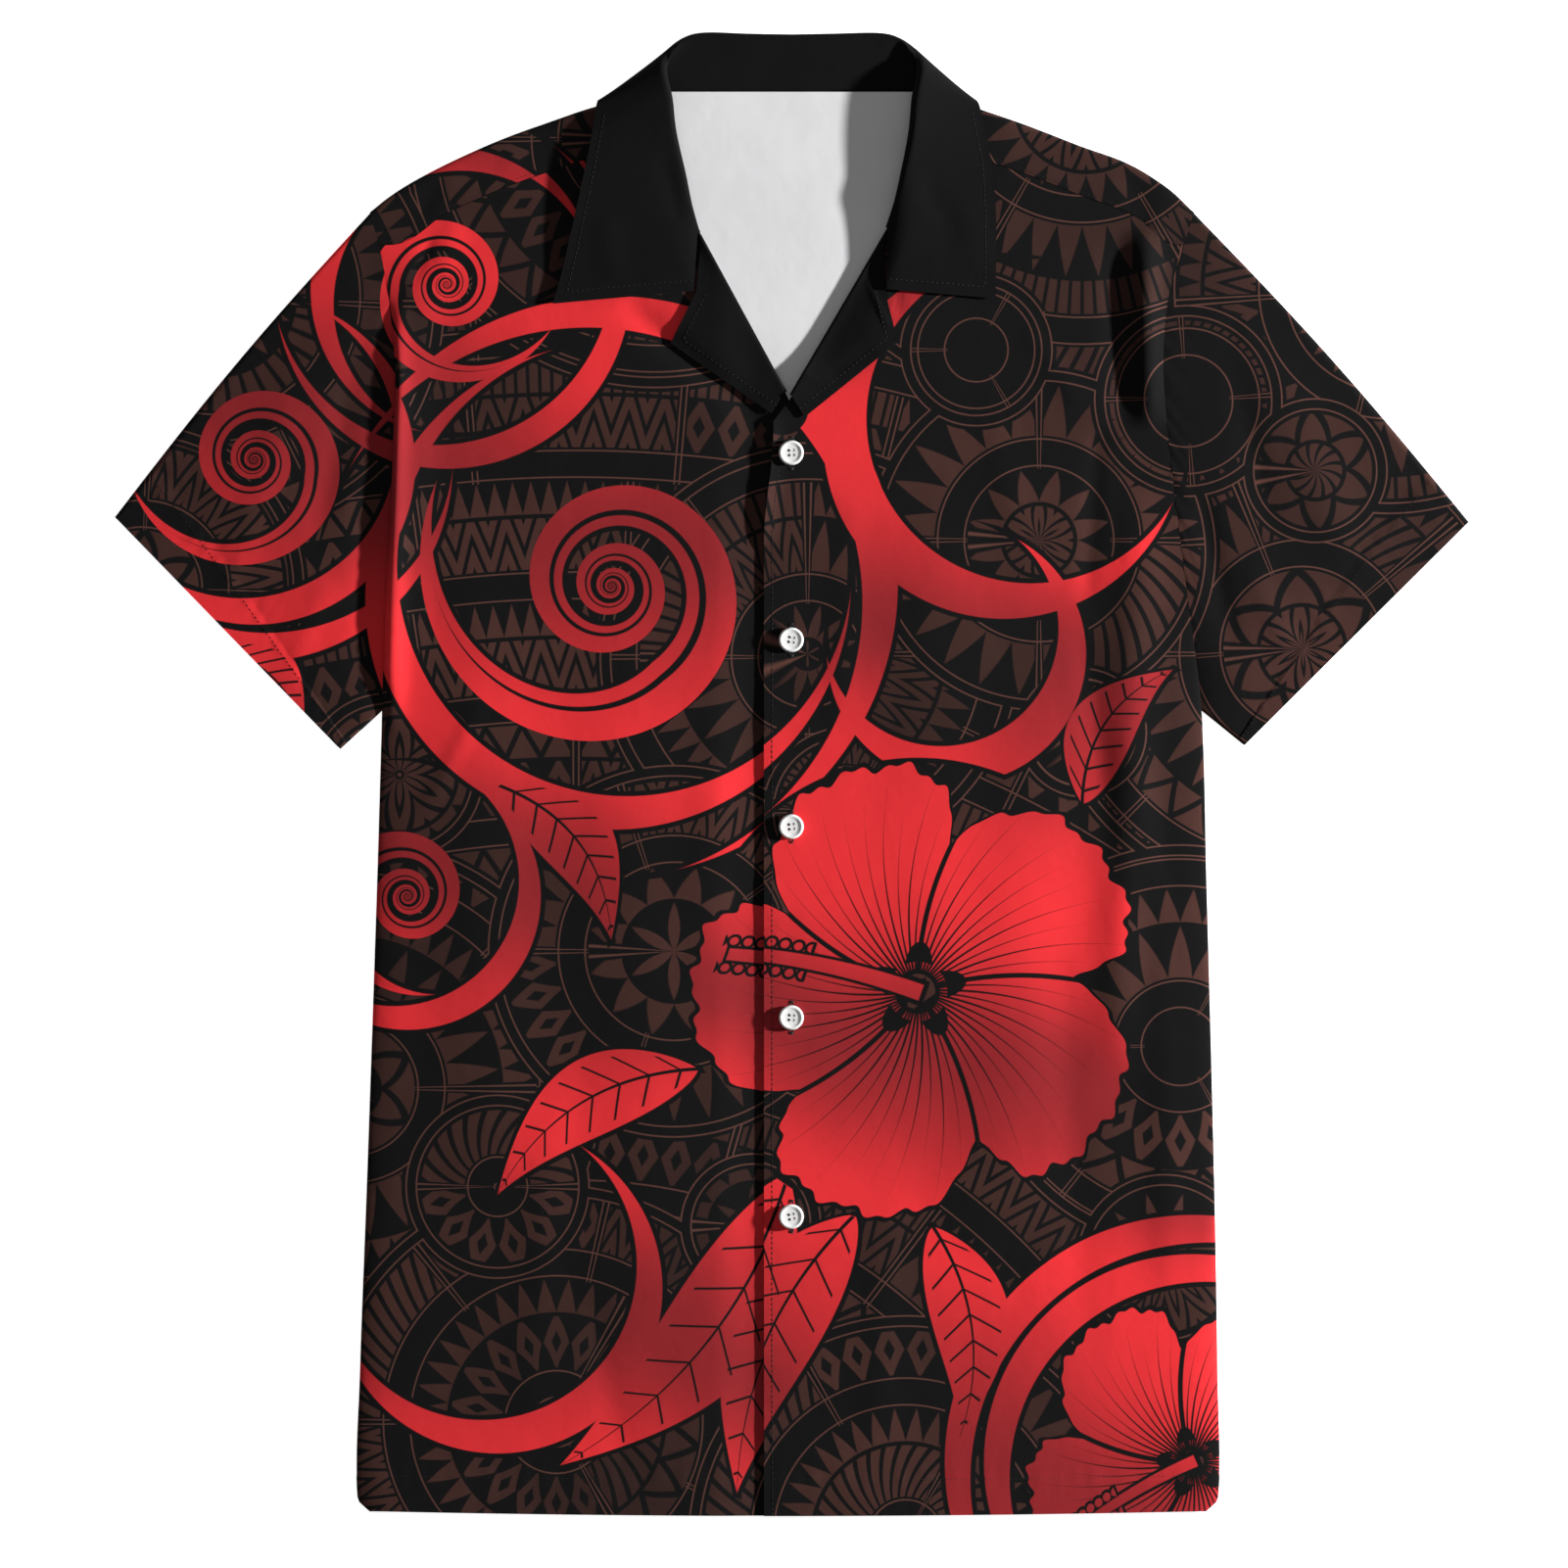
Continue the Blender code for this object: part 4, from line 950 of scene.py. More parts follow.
def stitch_tree():
    """Stitches along a line: rounded grains of thread at one pitch, each turned by the same angle and a little
    more or less."""
    numbers = dict.fromkeys(("Pitch", "Length", "Width", "Turn", "Unevenness"), "Float")
    kinds = {"Line": "Geometry", **numbers, "Thread": "Material"}
    tree = new_tree("stitches", "GeometryNodeTree", kinds, {"Stitches": "Geometry"})
    given = add_node("NodeGroupInput").outputs
    line = add_node("GeometryNodeMeshToCurve", {"Mesh": given["Line"]})
    spaced = add_node(
        "GeometryNodeResampleCurve", {"Curve": line.outputs["Curve"], "Length": given["Pitch"]}, mode="LENGTH"
    )
    grain = add_node("GeometryNodeMeshIcoSphere", {"Radius": 0.5, "Subdivisions": 1})
    sizes = add_node("ShaderNodeCombineXYZ", {"X": given["Length"], "Y": given["Width"], "Z": given["Width"]})
    sized = add_node(
        "GeometryNodeTransform", {"Geometry": grain.outputs["Mesh"], "Scale": sizes.outputs["Vector"]}
    )
    tangent = add_node("GeometryNodeInputTangent")
    align = "FunctionNodeAlignRotationToVector"
    ahead = add_node(align, {"Vector": tangent.outputs["Tangent"]}, axis="X")
    upward = {"Rotation": ahead.outputs["Rotation"], "Vector": (0.0, 0.0, 1.0)}
    upright = add_node(align, upward, axis="Z", pivot_axis="X")
    most_uneven = given["Unevenness"]
    lowest = add_node("ShaderNodeMath", {0: most_uneven, 1: -1.0}, operation="MULTIPLY")
    range_of_turns = {2: lowest.outputs[0], 3: most_uneven, "Seed": STITCH_SEED}
    uneven = add_node("FunctionNodeRandomValue", range_of_turns, data_type="FLOAT")
    total = add_node("ShaderNodeMath", {0: given["Turn"], 1: uneven.outputs[1]})
    angles = add_node("ShaderNodeCombineXYZ", {"Z": total.outputs[0]})
    extra = add_node("FunctionNodeEulerToRotation", {"Euler": angles.outputs["Vector"]})
    both = {"Rotation": upright.outputs["Rotation"], "Rotate By": extra.outputs["Rotation"]}
    turned = add_node("FunctionNodeRotateRotation", both, rotation_space="LOCAL")
    placed = add_node("GeometryNodeInstanceOnPoints", {
        "Points": spaced.outputs["Curve"],
        "Instance": sized.outputs["Geometry"],
        "Rotation": turned.outputs["Rotation"],
    })
    real = add_node("GeometryNodeRealizeInstances", {"Geometry": placed.outputs["Instances"]})
    finish = {"Geometry": real.outputs["Geometry"], "Material": given["Thread"]}
    add_node("NodeGroupOutput", {"Stitches": add_node("GeometryNodeSetMaterial", finish).outputs["Geometry"]})
    return tree


def sew(tree, lines, thread, **sizes):
    """Mesh of the stitches along lines of points."""
    points = [p for line in lines for p in line]
    edges, first = [], 0
    for line in lines:
        edges += [(n, n + 1) for n in range(first, first + len(line) - 1)]
        first += len(line)
    mesh = bpy.data.meshes.new("stitch line")
    mesh.from_pydata(points, edges, [])
    thing = add_object("stitch line", mesh)
    modifier = thing.modifiers.new("stitches", "NODES")
    modifier.node_group = tree
    for item in tree.interface.items_tree:
        if item.in_out == "INPUT" and item.name in sizes:
            modifier[item.identifier] = float(sizes[item.name])
        elif item.in_out == "INPUT" and item.name == "Thread":
            modifier[item.identifier] = thread
    sewn = finished_mesh(thing)
    sewn.materials.clear()
    sewn.materials.append(thread)
    sewn.polygons.foreach_set("material_index", [0] * len(sewn.polygons))
    sewn.shade_smooth()
    return sewn


def join_meshes(name, meshes):
    """One object of several meshes with the same material."""
    build = bmesh.new()
    for mesh in meshes:
        build.from_mesh(mesh)
    joined = bpy.data.meshes.new(name)
    build.to_mesh(joined)
    build.free()
    joined.materials.append(meshes[0].materials[0])
    return add_object(name, joined)


def laid_on(piece, line, below=False):
    """Lines of points of a plan on the upper side of a piece, or on its underside; a line breaks where it
    leaves the piece."""
    mesh = piece.data
    tree = BVHTree.FromPolygons([v.co for v in mesh.vertices], [p.vertices for p in mesh.polygons])
    way = 1.0 if below else -1.0
    lines = [[]]
    for x, y in line:
        hit = tree.ray_cast(Vector((x, y, -THREAD_DROP_FROM * way)), Vector((0.0, 0.0, way)))[0]
        if hit is None:
            lines.append([])
        else:
            lines[-1].append(hit - Vector((0.0, 0.0, way)) * THREAD_RISE)
    return [line for line in lines if len(line) > 2]


def finely(points, cell=0.0012):
    """Places along a line of corners, a cell apart."""
    points = np.asarray(points, dtype=float)
    length = runs_along(points)[-1]
    return places_along(points, np.linspace(0.0, length, max(3, int(length / cell))))


def beside(points, distance):
    """A line of corners moved to its left by a distance."""
    points = np.asarray(points, dtype=float)
    ways = np.diff(points, axis=0)
    ways /= np.linalg.norm(ways, axis=1, keepdims=True)
    normals = np.stack((-ways[:, 1], ways[:, 0]), axis=-1)
    moved = [points[0] + normals[0] * distance]
    for n in range(1, len(points) - 1):
        both = normals[n - 1] + normals[n]
        moved.append(points[n] + both * distance * 2 / (both @ both))
    moved.append(points[-1] + normals[-1] * distance)
    return np.array(moved)


def collar_seam(side):
    """Plan of the stitching on the leaf: from the notch to the tip and along the outer edge to the shoulder."""
    grid = collar_grid()
    rows = grid if side == "right" else grid[::-1]
    shown = sum(1 for s in collar_sections(side) if s.turn < SHOWN_TURN)
    leaf = rows[:shown, -len(COLLAR_SHARES):, :2]
    first = int(np.argmax(COLLAR_SHARES >= NOTCH_SHARE))
    down = [places_along(leaf[:, column], TOPSTITCH_IN) for column in range(first, leaf.shape[1])]
    across = [places_along(row[::-1], TOPSTITCH_IN) for row in leaf]
    outer, front = leaf[:, -1], leaf[0]
    clear = TOPSTITCH_IN * 0.97
    down = [p for p in down if np.linalg.norm(outer - p, axis=1).min() > clear]
    across = [p for p in across if np.linalg.norm(front - p, axis=1).min() > clear]
    return down + across


def make_stitches(thread, button_thread):
    """All that is sewn, as one piece for each panel and one for the buttons."""
    tree = stitch_tree()
    piece = bpy.data.objects
    names = []

    def add(name, groups, colour=thread):
        meshes = [sew(tree, lines, colour, **sizes) for lines, sizes in groups if lines]
        join_meshes(name, meshes)
        names.append(name)

    def hem_line(sign, x):
        return np.stack((sign * x, hem_y(abs(x) / BODY[1].left) + HEM_DEPTH - HEM_STITCH_DOWN), axis=-1)

    side_x = BODY[0].left - HEM_STITCH_END
    add("stitches_collar", [
        (laid_on(piece["cloth_collar"], finely(collar_seam(side))), TOPSTITCH) for side, _ in SIDES
    ])
    for side, sign in SIDES:
        rim = finely(beside(LAPEL[side][1:4], TOPSTITCH_IN * 0.9)) * (sign, 1)
        add("stitches_lapel_" + side, [(laid_on(piece["cloth_lapel_" + side], rim), TOPSTITCH)])
        front = piece["cloth_front_" + side]
        hem_x = np.linspace(HEM_STITCH_FROM[side], side_x, 150)
        lines = [(laid_on(front, hem_line(sign, hem_x)), FINE_STITCH)]
        if side == "left":
            y = np.linspace(HEM_Y + 0.001, PLACKET_TOP, 420)
            edge = np.stack((opening(y, side) + PLACKET_STITCH_IN, y), axis=-1)
            lines.append((laid_on(front, edge), TOPSTITCH))
            for level in BUTTON_LEVELS:
                lines += buttonhole(front, level)
        add("stitches_front_" + side, lines)
        seam_x, seam_y = shoulder_seam(side)
        above_seam = np.stack((sign * seam_x, seam_y + SHOULDER_STITCH_IN), axis=-1)[:-4]
        add("stitches_shoulder_" + side, [(laid_on(piece["cloth_back"], finely(above_seam)), FINE_STITCH)])
        at = 1.0 - (SLEEVE_HEM - HEM_STITCH_DOWN) / SLEEVE_LENGTH
        ring = np.array([sleeve_point(side, at, w) for w in np.linspace(0.02, 0.98, 150)]) * (sign, 1)
        sleeve = piece["cloth_sleeve_" + side]
        add("stitches_sleeve_" + side, [(laid_on(sleeve, ring, below), FINE_STITCH) for below in (False, True)])
    hem_x = np.linspace(-BODY[0].right + HEM_STITCH_END, side_x, 300)
    add("stitches_back", [(laid_on(piece["cloth_back"], hem_line(1, hem_x), below=True), FINE_STITCH)])
    threads = []
    ring = BUTTON_HOLE_RING / math.sqrt(2)
    for level, degrees in zip(BUTTON_LEVELS, BUTTON_TURNS):
        turn = math.radians(degrees)
        for way in (-1, 1):
            x = BUTTON_X - way * ring * math.sin(turn)
            y = level + way * ring * math.cos(turn)
            z = button_seat(level) + BUTTON_DISH * BUTTON_H
            step = np.array((-math.sin(turn), math.cos(turn))) * BUTTON_THREAD
            threads.append([Vector((x + step[0] * t, y + step[1] * t, z)) for t in (-1.0, 0.0, 1.0)])
    add("stitches_buttons", [(threads, {**BUTTON_BARS, "Length": 2.7 * ring})], button_thread)
    return names


def buttonhole(front, level):
    """Bars of thread on both sides of the slit and a bar tack at either end."""
    half = BUTTONHOLE / 2
    runs = [(out, np.linspace(-half, half, 24), HOLE_STITCH) for out in (-BUTTONHOLE_SIDE, BUTTONHOLE_SIDE)]
    runs += [(0.0, way * np.linspace(half, half + BAR_TACK_RUN, 4), BAR_TACK) for way in (-1, 1)]
    return [
        (laid_on(front, np.stack((np.full(len(y), BUTTON_X + out), level + y), axis=-1)), sizes)
        for out, y, sizes in runs
    ]


# The print, in millimetres. Rings of bands fill the ground: each row is a ring's middle and its reach, and a
# later ring lies over the ones before it.
RINGS = table("x y reach", (
    (-110, -470, 2000),
    (150, 350, 165),
    (-70, 330, 130),
    (255, 60, 125),
    (-225, -160, 125),
    (10, 60, 105),
    (200, -140, 100),
    (-120, -330, 118),
    (60, -390, 110),
    (-300, 240, 120),
    (312, 240, 112),
    (-60, -90, 92),
    (128, 118, 84),
    (-330, 90, 80),
    (205, 190, 46),
    (96, 215, 36),
    (30, -20, 40),
    (-150, -210, 44),
    (192, -250, 42),
    (-200, 0, 40),
    (-20, -230, 34),
    (268, 150, 34),
    (150, 20, 30),
))
BAND = 62.0  # from one ring of bands to the next
STRAP = 17.0  # the plain ring between two bands
ROW_A = 26.0
ROW_GAP = 2.2
TOOTH = 18.0
TEETH = 6  # in each field of a band
LINE = 0.36
OUTLINE = 2.6  # from the edge of a ring or a red motif to its thin line
FILL_IN = 2.4  # from that line to the fill
SEED_SHIFT = 7.3  # how far the bands of one ring are moved against those of the ring before it
PRINT_SPARE = 14.0  # how far the print is drawn past a panel's box
LEAF_SPARE = 60.0  # what a leaf's patch has beyond half its width from end to end
FAR = 999.0  # more than any distance in the print
BREAK = (-3.0, 185.0)  # the print keeps clear of the point where the lapels start
BREAK_REACH = 13.5
NECK_PLAIN = 4.0  # and of the edges that the lapels roll over

BLOOMS = table("x y size turn", ((66, -112, 116, 0.35), (206, -352, 84, 1.1)))
PETALS = 5
LEAVES = table("x0 y0 x1 y1 width bend", (
    (0, -206, -118, -352, 27, 0.10),
    (34, -226, -28, -366, 25, -0.10),
    (74, -232, 88, -338, 20, 0.12),
    (-48, -150, -150, -214, 20, -0.14),
    (150, -16, 196, 52, 17, 0.16),
    (-148, -6, -92, -84, 19, 0.16),
    (-290, 60, -244, 20, 15, 0.16),
))
SCROLLS = table("x y size start hand", (
    (-92, 96, 104, 2.6, 1),
    (-176, 250, 58, 0.4, -1),
    (-276, 158, 64, 3.4, 1),
    (-196, -62, 52, 1.3, -1),
))
SCROLL_GROWTH = 0.135
SCROLL_WIDTH = 0.60
CRESCENTS = table("ax ay reach_a bx by reach_b", (
    (-92, 96, 124, -84, 106, 117),
    (-92, 96, 148, -104, 86, 142),
    (-176, 250, 76, -169, 243, 71),
    (-176, 250, 94, -182, 259, 91),
    (-276, 158, 84, -283, 166, 79),
    (-276, 158, 103, -270, 168, 98),
    (-196, -62, 68, -203, -54, 64),
    (110, 170, 92, 124, 180, 84),
    (86, 60, 66, 78, 73, 60),
    (-150, -262, 84, -158, -250, 79),
    (206, -352, 106, 213, -360, 100),
    (206, -352, 126, 214, -361, 121),
))

BLACK = (0.0086, 0.0085, 0.0087)
THREAD_BLACK = (0.0130, 0.0128, 0.0128)
BROWN_DEEP = (0.030, 0.017, 0.015)
BROWN_FILL = (0.066, 0.029, 0.024)
BROWN_LINE = (0.105, 0.046, 0.037)
RED_BRIGHT = (0.775, 0.034, 0.040)
RED_DEEP = (0.275, 0.022, 0.026)
RED_PITCH = 205.0  # from one bright band of the red to the next
INSIDE_WHITE = (0.76, 0.76, 0.77)
BUTTON_WHITE = (0.83, 0.83, 0.82)
CLOTH_FINISH = {"Roughness": 0.88, "Specular IOR Level": 0.010, "Sheen Weight": 0.012, "Sheen Roughness": 0.5}
THREAD_FINISH = {"Roughness": 0.55, "Specular IOR Level": 0.25}
BUTTON_FINISH = {"Roughness": 0.26, "Specular IOR Level": 0.5, "Coat Weight": 0.35, "Coat Roughness": 0.12}
CLOTH_BUMPS = ((0.05, 3.0, 14.0), (0.35, 2.0, 1.6))  # scale, detail and height of its wrinkles and slubs
YARN = 0.45  # from one thread of the weave to the next


def part_of(a):
    return math_node("FRACT", a)


def size_of(a):
    return math_node("ABSOLUTE", a)


def least(a, b):
    return math_node("MINIMUM", a, b)


def most(a, b):
    return math_node("MAXIMUM", a, b)


def inside_of(distance, soft=0.25):
    """1 where a distance in millimetres is positive and 0 where it is negative, with a soft edge."""
    return math_node("MULTIPLY_ADD", distance, 0.5 / soft, 0.5, clamp=True)


def chosen(a, b, share):
    """a where share is 0 and b where it is 1."""
    return Field(add_node("ShaderNodeMix", {0: share, 2: a, 3: b}).outputs[0])


def chosen_colour(a, b, share):
    """The same for colours."""
    a, b = (colour if isinstance(colour, Field) else (*colour, 1.0) for colour in (a, b))
    return Field(add_node("ShaderNodeMix", {0: share, 6: a, 7: b}, data_type="RGBA").outputs[2])


def polar(x, y, middle_x, middle_y):
    """Distance from a middle, and the angle about it in turns."""
    dx, dy = x - middle_x, y - middle_y
    r = math_node("SQRT", dx * dx + dy * dy)
    return r, math_node("ARCTAN2", dy, dx) / math.tau


def noise(vector, scale, detail=2.0):
    """Soft spots between 0 and 1."""
    inputs = {"Vector": vector, "Scale": scale, "Detail": detail}
    return Field(add_node("ShaderNodeTexNoise", inputs).outputs[0])


def wave(a):
    """From 0 at whole numbers to 1 halfway between them."""
    return 1.0 - size_of(part_of(a) * 2.0 - 1.0)


def band_pattern(x, y, panel):
    """Rings of toothed and hatched bands: where the fill shows, and where the thin lines do."""
    middle_x, middle_y, seed, border = float(RINGS[0].x), float(RINGS[0].y), 0.0, FAR
    for n, ring in enumerate(RINGS[1:], 1):
        if not near(panel, ring.x, ring.y, ring.reach):
            continue
        r, _ = polar(x, y, ring.x, ring.y)
        distance = ring.reach - r
        over = inside_of(distance, 0.02)
        border = chosen(least(border, 0.0 - distance), distance, over)
        middle_x = chosen(middle_x, float(ring.x), over)
        middle_y = chosen(middle_y, float(ring.y), over)
        seed = chosen(seed, float(n), over)
    r, turn = polar(x, y, middle_x, middle_y)
    place = (r + seed * SEED_SHIFT) / BAND
    ring_number = math_node("FLOOR", place)
    depth = part_of(place) * BAND
    middle_r = (ring_number + 0.65) * BAND - seed * SEED_SHIFT
    fields = most(math_node("ROUND", middle_r * (math.tau / (TOOTH * TEETH))), 1.0)
    along_fields = (turn + 0.5) * fields
    field_number = math_node("FLOOR", along_fields)
    tooth = part_of(along_fields) * TEETH
    width = middle_r * math.tau / (fields * TEETH)
    number = add_node("ShaderNodeCombineXYZ", enumerate((ring_number, field_number, seed))).outputs[0]
    white = add_node("ShaderNodeTexWhiteNoise", {"Vector": number}, noise_dimensions="3D")
    chance = Field(white.outputs["Value"])
    other_chance = part_of(chance * 7.0)

    high = (depth - STRAP) / ROW_A
    teeth = wave(tooth)
    point_row = (teeth - high) * 6.0
    diamonds = (0.92 - (1.0 - teeth) - size_of(high * 2.0 - 1.0) * 0.8) * 6.0
    diamonds = least(diamonds, 3.4 - diamonds)
    slanted = (wave(tooth * 2.0 + high * 1.6) - 0.34) * 4.0
    nested = (wave((teeth - high) * 1.5 + 0.5) - 0.36) * 4.0
    row_a = point_row
    for limit, pattern in ((0.30, slanted), (0.52, nested), (0.76, diamonds)):
        row_a = chosen(row_a, pattern, inside_of(chance - limit, 0.001))
    row_a = least(row_a, least(depth - STRAP, STRAP + ROW_A - depth))

    low = (depth - STRAP - ROW_A - ROW_GAP) / (BAND - STRAP - ROW_A - ROW_GAP)
    bars = (wave(tooth * 3.0) - 0.30) * 2.4
    small_points = (wave(tooth * 2.0) - low) * 4.0
    crooked = (size_of(wave(tooth) - low) - 0.17) * 7.0
    row_b = small_points
    for limit, pattern in ((0.38, bars), (0.70, crooked)):
        row_b = chosen(row_b, pattern, inside_of(other_chance - limit, 0.001))
    row_b = least(row_b, least(depth - STRAP - ROW_A - ROW_GAP, BAND - depth))

    end = least(tooth, TEETH - tooth) * width
    fill = least(most(row_a, row_b), least(end - 3.0, border - OUTLINE - FILL_IN))
    strap_lines = least(size_of(depth - 1.7), size_of(depth - STRAP + 1.7))
    lines = least(strap_lines, size_of(end - 1.4))
    lines = least(lines, size_of(border - OUTLINE))
    lines = LINE - most(lines, OUTLINE - border)
    return fill, lines


def bloom_parts(x, y, bloom):
    """Distance inside a five-petalled flower, and the black of its veins."""
    r, turn = polar(x, y, bloom.x, bloom.y)
    size = bloom.size
    swirl = turn + bloom.turn + r * (0.055 / size)
    across = part_of(swirl * PETALS) - 0.5
    side = size_of(across) * 2.0
    ruffle = math_node("SINE", swirl * (math.tau * 26)) * 0.016
    ruffle = ruffle + math_node("SINE", swirl * (math.tau * 61)) * 0.010
    rim = (1.0 - math_node("POWER", side, 3.4) * 0.34 + ruffle) * size
    gap = (1.0 - side) * r * (math.pi / PETALS) - 1.3
    shape = least(least(rim - r, gap), r - size * 0.10)
    vein_gap = size_of(part_of(across * 11.0) - 0.5) * r * (math.tau / PETALS / 11.0)
    reach = 1.0 - r / (size * 0.735) + math_node("COSINE", across * 40.0) * 0.12
    veins = reach * 0.75 - vein_gap
    heart = size * 0.17 - r + math_node("COSINE", swirl * (math.tau * PETALS)) * (size * 0.05)
    return shape, most(veins, least(heart, r - size * 0.13))


def stamen_parts(x, y, bloom):
    """Distance inside the column of a flower and its anthers."""
    angle = 2.45 + bloom.turn
    c, s = math.cos(angle), math.sin(angle)
    dx, dy = x - bloom.x, y - bloom.y
    forward = (dx * c + dy * s) / bloom.size
    aside = dy * c - dx * s - math_node("POWER", most(forward, 0.0), 2.0) * (bloom.size * 0.16)
    column = least(bloom.size * 0.036 - size_of(aside) - forward * 1.2, (0.86 - forward) * bloom.size)
    column = least(column, forward * bloom.size + 2.0)
    dots_at = part_of(forward * 17.0) - 0.5
    dot_side = size_of(size_of(aside) - bloom.size * 0.062)
    dot = 2.1 - math_node("SQRT", dot_side * dot_side + (dots_at * dots_at) * (bloom.size / 17.0) ** 2)
    dot = least(dot, least(forward - 0.50, 0.88 - forward) * 100.0)
    return (most(column, dot),)


def leaf_parts(x, y, leaf):
    """Distance inside a leaf, and the black of its veins."""
    span = math.hypot(leaf.x1 - leaf.x0, leaf.y1 - leaf.y0)
    c, s = (leaf.x1 - leaf.x0) / span, (leaf.y1 - leaf.y0) / span
    dx, dy = x - leaf.x0, y - leaf.y0
    place = (dx * c + dy * s) / span
    aside = dy * c - dx * s - place * (1.0 - place) * (4.0 * leaf.bend * span)
    inner = least(most(place, 0.0), 1.0)
    half = math_node("SINE", math_node("POWER", inner, 0.75) * math.pi) * leaf.width
    away = size_of(aside)
    shape = least(half - away, least(place, 1.0 - place) * span)
    rib = (1.15 - place) * 0.9 - away
    ribs = 8.0
    side_vein = size_of(part_of(place * ribs - away * (0.75 * ribs / span)) - 0.5) * (span / ribs) * 0.75
    veins = least(0.55 - side_vein, half * 0.80 - away)
    return shape, most(rib, veins)


def scroll_parts(x, y, scroll):
    """Distance inside a scroll's arm, and the black of its inner stripe."""
    r, turn = polar(x, y, scroll.x, scroll.y)
    pitch = math.tau * SCROLL_GROWTH
    wound = part_of(turn * scroll.hand - scroll.start / math.tau)
    windings = math_node("LOGARITHM", most(scroll.size / most(r, 0.5), 0.01), math.e) / pitch - wound
    number = math_node("FLOOR", windings)
    across = windings - number
    run = number + wound
    width = least(most(run, 0.0) * 2.4, 1.0) * SCROLL_WIDTH
    shape = least(least(across, width - across) * r * pitch, run * 200.0)
    stripe = (least((run - 0.10) * 0.12, 0.045) - size_of(across - width * 0.62)) * r * pitch
    return shape, stripe


def crescent_shape(x, y, moon):
    """Distance inside one circle and outside another."""
    ra, _ = polar(x, y, moon.ax, moon.ay)
    rb, _ = polar(x, y, moon.bx, moon.by)
    return (least(moon.reach_a - ra, rb - moon.reach_b),)


def drawn_apart(draw, x, y, motif):
    """A motif drawn in a node group of its own: its parts at a place."""
    outer = Field.tree
    inner = new_tree("print motif", "ShaderNodeTree", {"X": "Float", "Y": "Float"}, {})
    start = add_node("NodeGroupInput").outputs
    parts = draw(Field(start["X"]), Field(start["Y"]), motif)
    for n in range(len(parts)):
        inner.interface.new_socket(f"Part {n + 1}", in_out="OUTPUT", socket_type="NodeSocketFloat")
    add_node("NodeGroupOutput", enumerate(parts))
    Field.tree = outer
    return [Field(socket) for socket in add_node("ShaderNodeGroup", {"X": x, "Y": y}, node_tree=inner).outputs]


def near(panel, x, y, reach):
    """Whether a round patch of the print reaches a panel's box."""
    low_x, low_y, high_x, high_y = panel
    gap = math.hypot(max(low_x - x, 0.0, x - high_x), max(low_y - y, 0.0, y - high_y))
    return gap < reach + PRINT_SPARE


def beside_neck(x, y, panel_name):
    """Distance from the neck edge of a front to a place on it."""
    side = panel_name.rpartition("_")[2]
    if "front" not in panel_name:
        return FAR
    sign = dict(SIDES)[side]
    (ax, ay), (bx, by) = (np.array(p) * 1000 for p in NECK[side][1:3])
    run = math.hypot(bx - ax, by - ay)
    across_x, across_y = sign * (by - ay) / run, -(bx - ax) / run
    return (x - sign * ax) * across_x + (y - ay) * across_y


def leaf_reach(leaf):
    """Radius of a patch that covers a leaf, from the middle between its ends."""
    return abs(leaf.x0 - leaf.x1) / 2 + LEAF_SPARE


